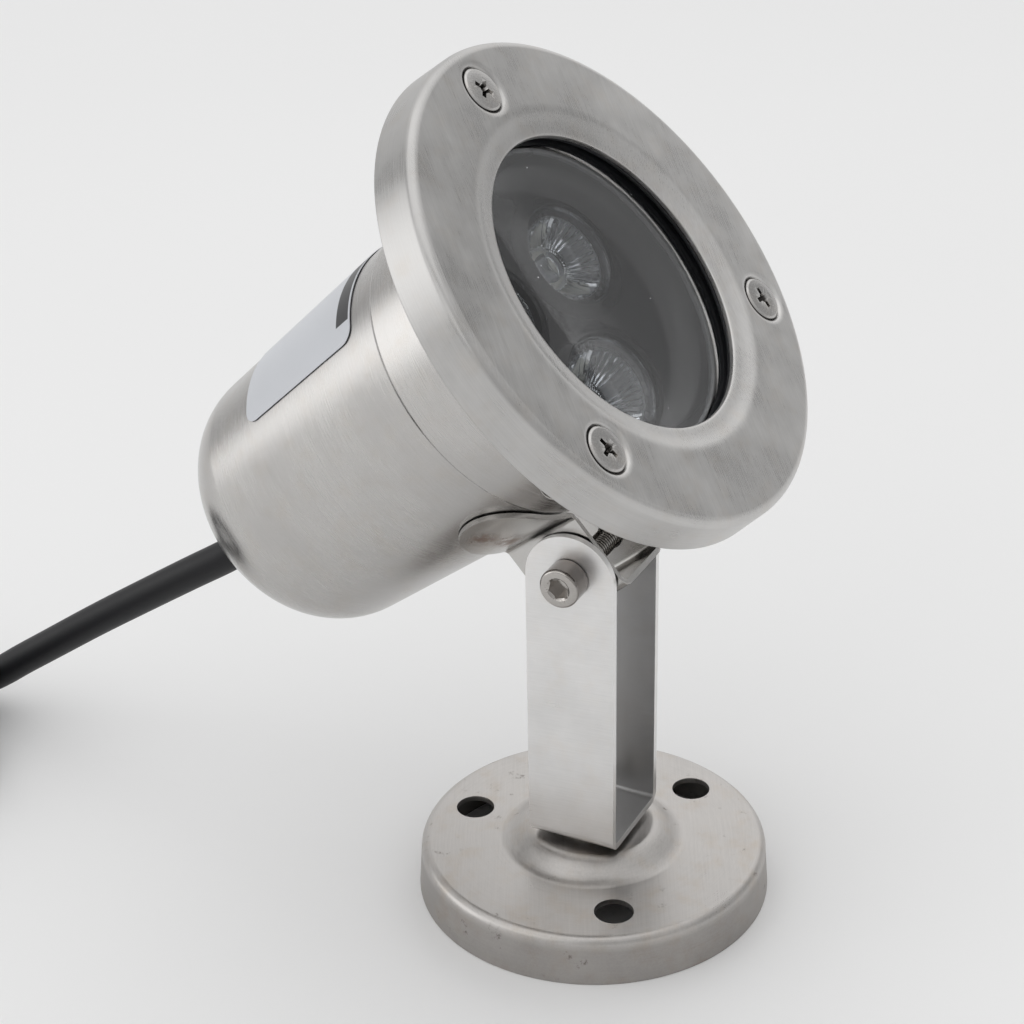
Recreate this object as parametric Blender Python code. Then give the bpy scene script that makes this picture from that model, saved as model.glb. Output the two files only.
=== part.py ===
"""Underwater pond light: a stainless steel spot lamp on a tilting U bracket and a round foot.

All lengths below are millimetres and are turned into metres by MM.
The lamp's own pieces are placed by s, the distance behind the bezel's front face along the lamp's
axis, and by r, the distance from that axis.
"""
import math

import bmesh
import bpy
from mathutils import Matrix, Vector

MM = 0.001
SEGMENTS = 48
GAP = 0.3

# Foot
STAND_Y = -23.8
BASE_TURN = 3.5
BASE_R = 37.5
BASE_TOP_R = 36.9
BASE_TOP = 10.9
BASE_SHEET = 1.2
BASE_ROLL = 2.6
BOSS_FOOT_R = 20.0
BOSS_TOP_R = 12.5
BOSS_TOP = 14.5
FOOT_HOLE_R = 4.1
FOOT_HOLE_RING = 27.6

# U bracket
ARM_OUT = 11.25
BRACKET_SHEET = 1.5
ARM_HALF_WIDTH = 9.7
BRACKET_FOOT = 15.8
BRACKET_BEND = 2.5
ARM_END_DROP = 0.6
HINGE_Z = 79.5
BOLT_HOLE_R = 2.75
BOLT_R = 2.5

# Lamp placing: its axis passes AXIS_OFFSET from the hinge, the bezel's face is FACE_Z ahead of it
TILT = 40.9
AXIS_OFFSET = 42.2
FACE_Z = 44.9

# Bezel
BEZEL_SHEET = 1.2
WINDOW_R = 31.5
WINDOW_S = 1.6
DISH_R = 36.4
BEZEL_ROLL = 2.0
BEZEL_R = 52.3
SKIRT_R = 52.8
SKIRT_S = 9.6
SCREW_RING = 43.6
SCREW_HEAD_R = 4.7
SCREW_R = 2.5
SCREW_END = 16.5

# Window
GASKET_S = (2.9, 8.9)
GASKET_LIP = 0.8
GASKET_R = 38.4
GLASS_S = (4.0, 7.8)
GLASS_R = 36.3

# Body shell
SHEET = 0.8
FLANGE_R = 49.5
FLANGE_S = 9.2
FLANGE_BEND = 3.0
COLLAR_R = 32.8
NECK_S = 35.9
NECK_R = 32.4
TAPER = 0.0644
REAR_S = 108.5
REAR_BEND = 17.8
GLAND_HOLE_R = 5.1

# Light engine
RESIN_S = (17.1, 24.5)
LENS_RING = 15.4
LENS_TURN = 32.6
LENS_R = 10.3
HOLDER_R = (8.9, 10.3)
BOARD_S = (29.3, 30.9)
SINK_S = (31.2, 37.2)

# Strap that carries the lamp
STRAP_SHEET = 1.1
STRAP_HALF_WIDTH = 9.2
STRAP_MID = -0.8
EAR_OUT = 9.3
EAR_BEND = 1.5
WEB_OUT = -8.0
WEB_BEND = 2.5
TAB_TIP = 220.0

# Cable
CABLE_R = 3.75
CABLE_START = 118.4
COIL_MEAN = 39.0
COIL_LOW = 0.9
COIL_CENTRE = (-42.8, 188.0)
CABLE_END = 100.0
TAIL_R = 25.6
CORE_R = 1.2


def clear_scene():
    for obj in list(bpy.data.objects):
        bpy.data.objects.remove(obj, do_unlink=True)


def material(name, colour, metallic, roughness, alpha=1.0):
    mat = bpy.data.materials.new(name)
    mat.use_nodes = True
    shader = mat.node_tree.nodes["Principled BSDF"]
    shader.inputs["Base Color"].default_value = (*colour, 1.0)
    shader.inputs["Metallic"].default_value = metallic
    shader.inputs["Roughness"].default_value = roughness
    shader.inputs["Alpha"].default_value = alpha
    return mat


def place(obj, parent, at=(0, 0, 0)):
    bpy.context.scene.collection.objects.link(obj)
    obj.parent = parent
    obj.location = Vector(at) * MM
    return obj


def empty(name, parent=None, at=(0, 0, 0), turn=(0, 0, 0)):
    obj = place(bpy.data.objects.new(name, None), parent, at)
    obj.rotation_euler = [math.radians(a) for a in turn]
    return obj


def finish_mesh(name, bm, parent, mat, at=(0, 0, 0)):
    bmesh.ops.recalc_face_normals(bm, faces=bm.faces)
    mesh = bpy.data.meshes.new(name)
    bm.to_mesh(mesh)
    bm.free()
    mesh.shade_smooth()
    mesh.set_sharp_from_angle(angle=math.radians(35))
    obj = place(bpy.data.objects.new(name, mesh), parent, at)
    if mat:
        obj.data.materials.append(mat)
    return obj


def arc(centre, radius, start, end, steps):
    """Points on an arc in a turned piece's (r, s) plane; angles in degrees from +r towards +s."""
    out = []
    for i in range(steps + 1):
        a = math.radians(start + (end - start) * i / steps)
        out.append((centre[0] + radius * math.cos(a), centre[1] + radius * math.sin(a)))
    return out


def lathe(name, outline, parent, mat, at=(0, 0, 0), segments=SEGMENTS, along=-1, turn=0.0):
    """Turned solid. outline is a closed loop of (r, s); along is the way s runs on local Z."""
    bm = bmesh.new()
    rings = []
    for r, s in outline:
        z = along * s * MM
        if r < 1e-6:
            rings.append([bm.verts.new((0, 0, z))])
            continue
        ring = []
        for k in range(segments):
            a = math.radians(turn) + 2 * math.pi * k / segments
            ring.append(bm.verts.new((r * MM * math.cos(a), r * MM * math.sin(a), z)))
        rings.append(ring)
    for a, b in zip(rings, rings[1:] + rings[:1]):
        if len(a) == 1 and len(b) == 1:
            continue
        for k in range(segments):
            j = (k + 1) % segments
            corners = [a[k % len(a)], a[j % len(a)], b[j % len(b)], b[k % len(b)]]
            bm.faces.new(list(dict.fromkeys(corners)))
    return finish_mesh(name, bm, parent, mat, at)


def combine(obj, tool, operation):
    """Boolean obj with a hidden tool object."""
    tool.hide_render = True
    tool.display_type = "WIRE"
    step = obj.modifiers.new(operation.lower(), "BOOLEAN")
    step.operation = operation
    step.solver = "EXACT"
    step.object = tool


def rod(name, radius, s_from, s_to, parent, at=(0, 0, 0), segments=24, turn=0.0):
    outline = [(0, s_from), (radius, s_from), (radius, s_to), (0, s_to)]
    return lathe(name, outline, parent, None, at, segments, turn=turn)


def hex_radius(across_flats):
    return across_flats / math.sqrt(3)


def hex_nut(name, across_flats, hole_r, s_from, s_to, parent, mat, at=(0, 0, 0)):
    rim = hex_radius(across_flats)
    bevel = 0.45
    outline = [(0, s_from), (rim - bevel, s_from), (rim, s_from + bevel / 2), (rim, s_to), (0, s_to)]
    nut = lathe(name, outline, parent, mat, at, 6)
    combine(nut, rod(name + "_bore", hole_r, s_from - 1, s_to + 1, parent, at), "DIFFERENCE")
    return nut


def strip(name, stations, path, sheet, to_local, parent, mat):
    """Bent sheet strip. path(w) gives (a, b, normal a, normal b) along the strip at station w
    across its width; to_local turns (a, b, w) into local coordinates."""
    bm = bmesh.new()
    grids = ([], [])
    for w in stations:
        line = path(w)
        for side, grid in enumerate(grids):
            grid.append([
                bm.verts.new(Vector(to_local(a + na * sheet * side, b + nb * sheet * side, w)) * MM)
                for a, b, na, nb in line
            ])
    inner, outer = grids
    last, end = len(stations) - 1, len(inner[0]) - 1
    for i in range(last):
        for j in range(end):
            for grid in grids:
                bm.faces.new((grid[i][j], grid[i + 1][j], grid[i + 1][j + 1], grid[i][j + 1]))
        for j in (0, end):
            bm.faces.new((inner[i][j], inner[i + 1][j], outer[i + 1][j], outer[i][j]))
    for j in range(end):
        for i in (0, last):
            bm.faces.new((inner[i][j], inner[i][j + 1], outer[i][j + 1], outer[i][j]))
    return finish_mesh(name, bm, parent, mat)


def round_end_stations(half_width, middle=0.0, steps=12):
    return [
        middle + half_width * math.sin(math.radians(-90 + 180 * i / steps))
        for i in range(steps + 1)
    ]


def round_end_drop(w, half_width, middle=0.0):
    """How far a full-round end falls back from its tip at station w."""
    across = min(abs(w - middle), half_width)
    return half_width - math.sqrt(half_width ** 2 - across ** 2)


def ring_places(radius, first, count=3):
    """Places evenly round a ring, clockwise from the angle first."""
    for k in range(count):
        a = math.radians(first - 360 * k / count)
        yield radius * math.cos(a), radius * math.sin(a)


# ---------------------------------------------------------------- foot

def build_base_plate(parent, mat):
    wall = BASE_SHEET
    roll_centre = (BASE_TOP_R - BASE_ROLL, BASE_TOP - BASE_ROLL)
    slope = []
    for i in range(6):
        t = i / 5
        rise = (1 - math.cos(math.pi * t)) / 2
        slope.append((BOSS_FOOT_R + (BOSS_TOP_R - BOSS_FOOT_R) * t,
                      BASE_TOP + (BOSS_TOP - BASE_TOP) * rise))
    outline = [(BASE_R, 0)]
    outline += arc(roll_centre, BASE_ROLL, 0, 90, 4)
    outline += slope
    outline += [(BOLT_HOLE_R, BOSS_TOP), (BOLT_HOLE_R, BOSS_TOP - wall)]
    outline += [(r, z - wall) for r, z in reversed(slope)]
    outline += arc(roll_centre, BASE_ROLL - wall, 90, 0, 3)
    outline += [(BASE_R - wall, 0)]
    base = lathe("base_plate", outline, parent, mat, along=1, turn=2.3)
    for k, (x, y) in enumerate(ring_places(FOOT_HOLE_RING, 90 + BASE_TURN)):
        hole = rod(f"foot_hole_{k}", FOOT_HOLE_R, -BASE_TOP - 5, -5, parent, (x, y, 0), 24, 7)
        combine(base, hole, "DIFFERENCE")


def build_pivot(parent, steel):
    """Screw that clamps the bracket to the foot and lets it swivel, with its washers and nut."""
    web_top = BRACKET_FOOT + BRACKET_SHEET
    head_low = web_top + 0.25
    outline = [(0, head_low + 2.9), (3.2, head_low + 2.9), (4.3, head_low + 2.0), (4.6, head_low),
               (BOLT_R, head_low), (BOLT_R, 6.9), (BOLT_R - 0.4, 6.5), (0, 6.5)]
    bolt = lathe("pivot_screw", outline, parent, steel, along=1, segments=24)
    socket = rod("pivot_socket", hex_radius(3.0), -head_low - 4, -head_low - 1.2, parent, segments=6)
    combine(bolt, socket, "DIFFERENCE")
    ring(parent, "spacer_washer", BOLT_HOLE_R, 7.5, BOSS_TOP + 0.2, BRACKET_FOOT - 0.25, steel)
    under = BOSS_TOP - BASE_SHEET
    ring(parent, "under_washer", BOLT_HOLE_R, 5.5, under - 1.3, under - 0.25, steel)
    hex_nut("pivot_nut", 8.0, BOLT_R + 0.25, 1.5 - under, 5.5 - under, parent, steel)


def ring(parent, name, inner, outer, low, high, mat):
    outline = [(inner, low), (outer, low), (outer, high), (inner, high)]
    return lathe(name, outline, parent, mat, along=1, segments=24)


# ---------------------------------------------------------------- bracket

def bracket_path(w):
    """Half section of the U bracket, from the arm's end down to the web and up again."""
    inside = ARM_OUT - BRACKET_SHEET
    top = HINGE_Z - ARM_END_DROP + ARM_HALF_WIDTH - round_end_drop(w, ARM_HALF_WIDTH)
    bend_z = BRACKET_FOOT + BRACKET_BEND
    bend_x = ARM_OUT - BRACKET_BEND
    inner_bend = BRACKET_BEND - BRACKET_SHEET
    left = [(-inside, top, -1, 0), (-inside, HINGE_Z - 16, -1, 0)]
    for i in range(5):
        a = math.radians(180 + 90 * i / 4)
        left.append((-bend_x + inner_bend * math.cos(a), bend_z + inner_bend * math.sin(a),
                     math.cos(a), math.sin(a)))
    right = [(-a, b, -na, nb) for a, b, na, nb in reversed(left)]
    return left + right


def build_bracket(parent, steel):
    bracket = strip("u_bracket", round_end_stations(ARM_HALF_WIDTH), bracket_path, BRACKET_SHEET,
                    lambda x, z, w: (x, w, z), parent, steel)
    combine(bracket, rod("web_hole", BOLT_HOLE_R, -30, 0, parent, segments=24), "DIFFERENCE")
    cross = empty("bolt_line", parent, (0, 0, HINGE_Z), (0, 90, 0))
    combine(bracket, rod("arm_holes", BOLT_HOLE_R, -30, 30, cross, segments=24), "DIFFERENCE")
    return cross


def build_tilt_bolt(cross, bolt_mat, nut_mat):
    """Socket cap screw through both arms; its head is on the -X arm, its lock nut on the +X arm."""
    seat = ARM_OUT + 0.2
    end = ARM_OUT + 8.9
    edge = 0.5
    outline = [(0, seat + 5), (4.25 - edge, seat + 5), (4.25, seat + 5 - edge), (4.25, seat),
               (BOLT_R, seat), (BOLT_R, -end + 0.5), (BOLT_R - 0.5, -end), (0, -end)]
    bolt = lathe("tilt_bolt", outline, cross, bolt_mat, segments=24)
    socket = rod("bolt_socket", hex_radius(4.0), seat + 2.4, seat + 7, cross, segments=6)
    combine(bolt, socket, "DIFFERENCE")
    washer_in = -(ARM_OUT + 0.2)
    washer_out = washer_in - 1.0
    lathe("tilt_washer", [(BOLT_HOLE_R, washer_out), (5.0, washer_out), (5.0, washer_in),
                          (BOLT_HOLE_R, washer_in)], cross, nut_mat, segments=24)
    hex_nut("tilt_lock_nut", 8.0, BOLT_R + 0.25, washer_out - 5.0, washer_out - 0.2, cross, nut_mat)


# ---------------------------------------------------------------- lamp body and front

def wall_radius(s):
    return NECK_R - TAPER * (s - NECK_S)


def body_outline():
    lean = math.degrees(math.atan(TAPER))
    rear_s = REAR_S - REAR_BEND
    tangent_s = rear_s + REAR_BEND * math.sin(math.radians(lean))
    rear = (wall_radius(tangent_s) - REAR_BEND * math.cos(math.radians(lean)), rear_s)
    mouth = (COLLAR_R + FLANGE_BEND, FLANGE_S + SHEET + FLANGE_BEND)
    outer = [(FLANGE_R, FLANGE_S), (FLANGE_R, FLANGE_S + SHEET)]
    outer += arc(mouth, FLANGE_BEND, -90, -180, 3)
    outer += [(COLLAR_R, NECK_S - 0.6), (NECK_R, NECK_S)]
    outer += arc(rear, REAR_BEND, lean, 90, 6)
    outer += [(GLAND_HOLE_R, REAR_S)]
    inner = [(GLAND_HOLE_R, REAR_S - SHEET)]
    inner += arc(rear, REAR_BEND - SHEET, 90, lean, 5)
    inner += [(NECK_R - SHEET, NECK_S), (COLLAR_R - SHEET, NECK_S - 0.6)]
    inner += arc(mouth, FLANGE_BEND + SHEET, -180, -90, 3)
    return outer + inner


def build_body_shell(lamp, mat):
    body = lathe("body_shell", body_outline(), lamp, mat, turn=1.7)
    for k, (x, y) in enumerate(ring_places(SCREW_RING, 90)):
        hole = rod(f"flange_hole_{k}", 2.8, FLANGE_S - 2, FLANGE_S + 3, lamp, (x, y, 0), 24, 7)
        combine(body, hole, "DIFFERENCE")


def bezel_outline():
    t = BEZEL_SHEET
    roll = (BEZEL_R - BEZEL_ROLL, BEZEL_ROLL)
    outline = [(WINDOW_R, WINDOW_S), (33.8, 1.15), (35.4, 0.35), (DISH_R, 0)]
    outline += arc(roll, BEZEL_ROLL, -90, 0, 4)
    outline += [(SKIRT_R, SKIRT_S), (SKIRT_R - t, SKIRT_S)]
    outline += arc(roll, BEZEL_ROLL - t, 0, -90, 2)
    outline += [(DISH_R + 0.2, t), (35.4, 0.35 + t), (33.8, 1.15 + t), (WINDOW_R, WINDOW_S + t)]
    return outline


def build_bezel(lamp, mat):
    """Stamped front ring. Each screw sits in a dimple that is pressed through the sheet."""
    bezel = lathe("bezel_ring", bezel_outline(), lamp, mat, segments=60, turn=1.7)
    for k, (x, y) in enumerate(ring_places(SCREW_RING, 90)):
        cup = lathe(f"dimple_{k}", [(0, 0.6), (6.2, 0.6), (5.6, 1.6), (3.9, 3.5), (0, 3.5)], lamp,
                    None, (x, y, 0), 24, turn=5)
        combine(bezel, cup, "UNION")
    for k, (x, y) in enumerate(ring_places(SCREW_RING, 90)):
        sink = lathe(f"countersink_{k}", [(0, -0.5), (5.4, -0.5), (5.0, 0.05), (2.8, 2.55),
                                          (2.8, 5), (0, 5)], lamp, None, (x, y, 0), 24, turn=11.3)
        combine(bezel, sink, "DIFFERENCE")


def build_bezel_screws(lamp, mat, nut_mat):
    for k, (x, y) in enumerate(ring_places(SCREW_RING, 90)):
        outline = [(0, 0.1), (SCREW_HEAD_R - 0.9, 0.1), (SCREW_HEAD_R, 0.35),
                   (SCREW_R, 2.55), (SCREW_R, SCREW_END - 0.5), (SCREW_R - 0.5, SCREW_END),
                   (0, SCREW_END)]
        screw = lathe(f"bezel_screw_{k + 1}", outline, lamp, mat, (x, y, 0), 24)
        for turn in (20 + 50 * k, 110 + 50 * k):
            combine(screw, cross_blade(f"recess_{k}_{turn}", lamp, (x, y, 0), turn), "DIFFERENCE")
        hex_nut(f"weld_nut_{k + 1}", 8.0, SCREW_R + 0.3, FLANGE_S + SHEET + GAP, 13.8, lamp, nut_mat,
                (x, y, 0))


def cross_blade(name, parent, at, turn):
    """One tapered blade of a cross recess."""
    bm = bmesh.new()
    top, low = [], []
    for x, y in ((-1, -1), (1, -1), (1, 1), (-1, 1)):
        top.append(bm.verts.new((x * 2.6 * MM, y * 0.55 * MM, 0.5 * MM)))
        low.append(bm.verts.new((x * 1.0 * MM, y * 0.35 * MM, -1.9 * MM)))
    bm.faces.new(top)
    bm.faces.new(list(reversed(low)))
    for i in range(4):
        j = (i + 1) % 4
        bm.faces.new((top[j], top[i], low[i], low[j]))
    blade = finish_mesh(name, bm, parent, None, at)
    blade.rotation_euler = (0, 0, math.radians(turn))
    return blade


def build_window(lamp, rubber, glass):
    low, high = GASKET_S
    lip_r = WINDOW_R + 0.5
    groove = GLASS_R + 0.3
    outline = [(lip_r, low), (GASKET_R - 0.5, low), (GASKET_R, low + 0.5), (GASKET_R, high),
               (lip_r, high), (lip_r, high - GASKET_LIP), (groove, high - GASKET_LIP),
               (groove, low + GASKET_LIP), (lip_r, low + GASKET_LIP)]
    lathe("window_gasket", outline, lamp, rubber)
    front, back = GLASS_S
    lathe("window_glass", [(0, front), (GLASS_R, front), (GLASS_R, back), (0, back)], lamp, glass)


# ---------------------------------------------------------------- light engine

def build_light_engine(lamp, mats):
    front, back = RESIN_S
    low, high = BOARD_S
    resin = lathe("potting_resin", [(0, front), (COLLAR_R - SHEET - GAP, front),
                                    (COLLAR_R - SHEET - GAP, back), (0, back)], lamp, mats["resin"])
    for k, (x, y) in enumerate(ring_places(LENS_RING, LENS_TURN)):
        at = (x, y, 0)
        combine(resin, rod(f"lens_well_{k}", LENS_R + 0.4, front - 1, back + 1, lamp, at, 24),
                "DIFFERENCE")
        build_lens(k + 1, front, lamp, mats["lens"], at)
        foot = low - GAP
        lathe(f"lens_holder_{k + 1}", [(HOLDER_R[0] + 0.5, front + 1.6), (HOLDER_R[1], front + 1.6),
                                       (HOLDER_R[1], foot), (HOLDER_R[0] - 2.5, foot),
                                       (HOLDER_R[0] - 2.5, foot - 1.1), (HOLDER_R[0], foot - 1.9)],
              lamp, mats["holder"], at, 24)
        lathe(f"led_{k + 1}", [(0, foot - 4.9), (1.6, foot - 4.5), (2.6, foot - 2.5), (4.0, foot - 1.9),
                               (4.0, foot), (0, foot)], lamp, mats["led"], at, 16)
    wall = wall_radius(SINK_S[1] + 5) - SHEET - GAP
    lathe("led_board", [(1.8, low), (28.0, low), (28.0, high), (1.8, high)], lamp, mats["board"])
    lathe("heat_sink", [(1.8, SINK_S[0]), (wall, SINK_S[0]), (wall, SINK_S[1] + 5),
                        (wall - 2, SINK_S[1] + 5), (wall - 2, SINK_S[1]), (1.8, SINK_S[1])], lamp,
          mats["aluminium"])
    lathe("board_screw", [(0, low - 1.9), (1.7, low - 1.9), (2.15, low - 0.25), (1.5, low - 0.25),
                          (1.5, SINK_S[1] + 2), (0, SINK_S[1] + 2)], lamp, mats["fastener"],
          segments=24)
    build_driver(lamp, mats)


def build_lens(number, front, lamp, mat, at):
    """Collimating lens: flat rim, shallow front recess, conical side and a pocket over the LED."""
    outline = [(0, front + 1.2), (4.6, front + 0.7), (9.1, front + 0.1), (LENS_R, front + 0.1),
               (LENS_R, front + 1.2), (8.6, front + 1.3), (7.4, front + 4.6), (4.6, front + 9.2),
               (3.2, front + 9.2), (3.1, front + 5.4), (0, front + 4.9)]
    lathe(f"lens_{number}", outline, lamp, mat, at, 24)


def box(name, parent, mat, low, high):
    bm = bmesh.new()
    size = Vector(high) - Vector(low)
    shift = Matrix.Translation((Vector(high) + Vector(low)) / 2 * MM)
    bmesh.ops.create_cube(bm, size=1.0, matrix=shift @ Matrix.Diagonal((*(size * MM), 1)))
    return finish_mesh(name, bm, parent, mat)


def build_driver(lamp, mats):
    """Constant current driver: a board on edge in the rear of the body, with its large parts."""
    box("driver_board", lamp, mats["board"], (-19, -0.8, -88), (19, 0.8, -50))
    coil = empty("choke_place", lamp, (-8, 0, -62), (-90, 0, 0))
    lathe("driver_choke", [(2.6, -8.6), (6.8, -8.6), (6.8, -1.1), (2.6, -1.1)], coil,
          mats["fastener"], segments=24)
    lathe("driver_capacitor", [(0, -13.4), (3.8, -13.4), (4.2, -13.0), (4.2, -1.1), (0, -1.1)],
          empty("capacitor_place", lamp, (9, 0, -74), (-90, 0, 0)), mats["rubber"], segments=24)


# ---------------------------------------------------------------- cable gland

def build_gland(lamp, steel, rubber, cable):
    """Cable gland through the rear of the body, and the length of cable that it grips."""
    bore = CABLE_R + 0.3
    s = REAR_S
    lathe("gland_washer", [(5.2, s + 0.2), (7.2, s + 0.2), (7.2, s + 1.2), (5.2, s + 1.2)], lamp,
          rubber, segments=24)
    body = lathe("gland_body", [(bore, s - 8), (4.8, s - 8), (4.8, s + 3), (5.3, s + 3),
                                (5.3, s + 6.5), (bore, s + 6.5)], lamp, steel, segments=24)
    flats = rod("gland_flats", hex_radius(13.0), s + 1.5, s + 4.2, lamp, segments=6, turn=10)
    combine(flats, rod("gland_flats_bore", 4.6, s, s + 7, lamp, segments=24), "DIFFERENCE")
    combine(body, flats, "UNION")
    hex_nut("gland_lock_nut", 13.0, 5.1, s - 4.2, s - SHEET - GAP, lamp, steel)
    lathe("gland_seal", [(bore, s + 6.8), (5.2, s + 6.8), (4.9, s + 8.2), (bore, s + 8.2)], lamp,
          rubber, segments=24)
    outline = [(5.6, s + 4.5), (6.6, s + 4.5), (6.6, s + 7.2)]
    outline += arc((4.2, s + 7.2), 2.4, 30, 90, 2)
    outline += [(bore, s + 9.6), (bore, s + 8.5), (5.6, s + 8.5)]
    lathe("gland_nut", outline, lamp, steel, segments=24)
    rod_end = [(0, s - 13), (CABLE_R, s - 13), (CABLE_R, s + 9.6), (0, s + 9.6)]
    lathe("cable_inner", rod_end, lamp, cable, segments=24)


# ---------------------------------------------------------------- rating label

def build_label(lamp, mat):
    """Blank rating label wrapped over the top of the body, following its taper."""
    bm = bmesh.new()
    grids = ([], [])
    corner = 3.0
    stations = [42.2, 42.6, 43.5, 45.2, 75.2, 76.9, 77.8, 78.2]
    for s in stations:
        short = max(corner - (s - 42.2), corner - (78.2 - s), 0.0)
        drop = corner - math.sqrt(max(corner ** 2 - short ** 2, 0.0))
        for side, grid in enumerate(grids):
            r = wall_radius(s) + 0.15 + 0.15 * side
            half = math.radians(48.5) - drop / r
            grid.append([
                bm.verts.new((r * MM * math.sin(half * t / 8), r * MM * math.cos(half * t / 8),
                              -s * MM))
                for t in range(-8, 9)
            ])
    under, over = grids
    last, end = len(stations) - 1, 16
    for i in range(last):
        for j in range(end):
            for grid in grids:
                bm.faces.new((grid[i][j], grid[i + 1][j], grid[i + 1][j + 1], grid[i][j + 1]))
        for j in (0, end):
            bm.faces.new((under[i][j], under[i + 1][j], over[i + 1][j], over[i][j]))
    for j in range(end):
        for i in (0, last):
            bm.faces.new((under[i][j], under[i][j + 1], over[i][j + 1], over[i][j]))
    finish_mesh("rating_label", bm, lamp, mat)


# ---------------------------------------------------------------- strap

def strap_path(w):
    """Section of the strap at station w: tab round the body, ear, web, ear, tab."""
    skin = wall_radius(FACE_Z - w) + GAP
    bend_x = EAR_OUT + EAR_BEND
    bend_n = AXIS_OFFSET - math.sqrt((skin + STRAP_SHEET + EAR_BEND) ** 2 - bend_x ** 2)
    meet = 180 + math.degrees(math.atan2(AXIS_OFFSET - bend_n, bend_x))
    drop = round_end_drop(w, STRAP_HALF_WIDTH, STRAP_MID)
    tip = TAB_TIP + math.degrees(drop / skin)
    left = []
    for i in range(6):
        a = math.radians(tip + (meet - tip) * i / 5)
        left.append((skin * math.cos(a), AXIS_OFFSET + skin * math.sin(a), math.cos(a), math.sin(a)))
    reach = EAR_BEND + STRAP_SHEET
    for i in range(1, 5):
        a = math.radians((meet - 180) * (1 - i / 4))
        left.append((-bend_x + reach * math.cos(a), bend_n + reach * math.sin(a),
                     -math.cos(a), -math.sin(a)))
    inner_bend = WEB_BEND - STRAP_SHEET
    for i in range(5):
        a = math.radians(180 + 90 * i / 4)
        left.append((-(EAR_OUT - WEB_BEND) + inner_bend * math.cos(a),
                     WEB_OUT + WEB_BEND + inner_bend * math.sin(a), math.cos(a), math.sin(a)))
    right = [(-a, b, -na, nb) for a, b, na, nb in reversed(left)]
    return left + right


def build_strap(tilt, mat):
    strap = strip("yoke_strap", round_end_stations(STRAP_HALF_WIDTH, STRAP_MID), strap_path,
                  STRAP_SHEET, lambda x, n, w: (x, n, w), tilt, mat)
    line = empty("ear_line", tilt, (0, 0, 0), (0, 90, 0))
    combine(strap, rod("ear_holes", BOLT_HOLE_R, -30, 30, line, segments=24), "DIFFERENCE")


# ---------------------------------------------------------------- cable

def smooth_curve(points, count):
    """Points evenly spread on a cubic through the given points, with rounded chord parameters."""
    pts = [Vector(p) for p in points]
    pts = [pts[0] * 2 - pts[1]] + pts + [pts[-1] * 2 - pts[-2]]
    dense = []
    for a, b, c, d in zip(pts, pts[1:], pts[2:], pts[3:]):
        steps = 40
        for i in range(steps):
            t = i / steps
            dense.append(0.5 * ((2 * b) + (c - a) * t + (2 * a - 5 * b + 4 * c - d) * t * t
                                + (3 * b - a - 3 * c + d) * t ** 3))
    dense.append(pts[-2])
    lengths = [0.0]
    for p, q in zip(dense, dense[1:]):
        lengths.append(lengths[-1] + (q - p).length)
    out, i = [], 0
    for k in range(count):
        want = lengths[-1] * k / (count - 1)
        while i < len(lengths) - 2 and lengths[i + 1] < want:
            i += 1
        share = (want - lengths[i]) / max(lengths[i + 1] - lengths[i], 1e-9)
        out.append(dense[i].lerp(dense[i + 1], min(share, 1.0)))
    return out


def tube(name, points, radius, parent, mat, sides=3):
    curve = bpy.data.curves.new(name, "CURVE")
    curve.dimensions = "3D"
    curve.bevel_depth = radius * MM
    curve.bevel_resolution = sides
    curve.use_fill_caps = True
    spline = curve.splines.new("POLY")
    spline.points.add(len(points) - 1)
    for spot, p in zip(spline.points, points):
        spot.co = (*(Vector(p) * MM), 1)
    obj = place(bpy.data.objects.new(name, curve), parent)
    curve.materials.append(mat)
    return obj


def along_lamp_axis(s):
    """A point on the lamp's axis in the bracket's frame."""
    a = math.radians(TILT)
    reach = FACE_Z - s
    return Vector((0, -reach * math.cos(a) + AXIS_OFFSET * math.sin(a),
                   HINGE_Z + reach * math.sin(a) + AXIS_OFFSET * math.cos(a)))


def build_cable(swivel, cable, tie, cores):
    route = [along_lamp_axis(CABLE_START), along_lamp_axis(CABLE_START + 6),
             (0, 99.0, 51.8), (0, 112.0, 43.0), (0, 126.0, 33.4), (0, 141.0, 22.7),
             (0, 152.0, 14.8), (0, 161.0, 8.7)]
    tube("cable_lead", smooth_curve(route, 14), CABLE_R, swivel, cable)
    x, y = COIL_CENTRE
    inner, outer = COIL_MEAN - 2 * CABLE_R - 0.2, COIL_MEAN + 2 * CABLE_R + 0.2
    high = COIL_LOW + 4 * CABLE_R + 0.2
    edge = 2.2
    outline = [(inner, COIL_LOW + edge), (inner + edge, COIL_LOW), (outer - edge, COIL_LOW),
               (outer, COIL_LOW + edge), (outer, high - edge), (outer - edge, high),
               (inner + edge, high), (inner, high - edge)]
    lathe("cable_coil", outline, swivel, cable, (x, y, 0), 40, along=1)
    build_tie(swivel, tie, inner, outer, high)
    for name, side, mat in (("core_brown", 1.35, cores[0]), ("core_blue", -1.35, cores[1])):
        points = []
        for i in range(7):
            a = math.radians(CABLE_END + 3 + 9 * i)
            r = TAIL_R - side - 0.4 * i
            points.append((x + r * math.cos(a), y + r * math.sin(a), 3.4 - 0.35 * min(i, 5)))
        tube(name, points, CORE_R, swivel, mat, 2)


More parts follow.
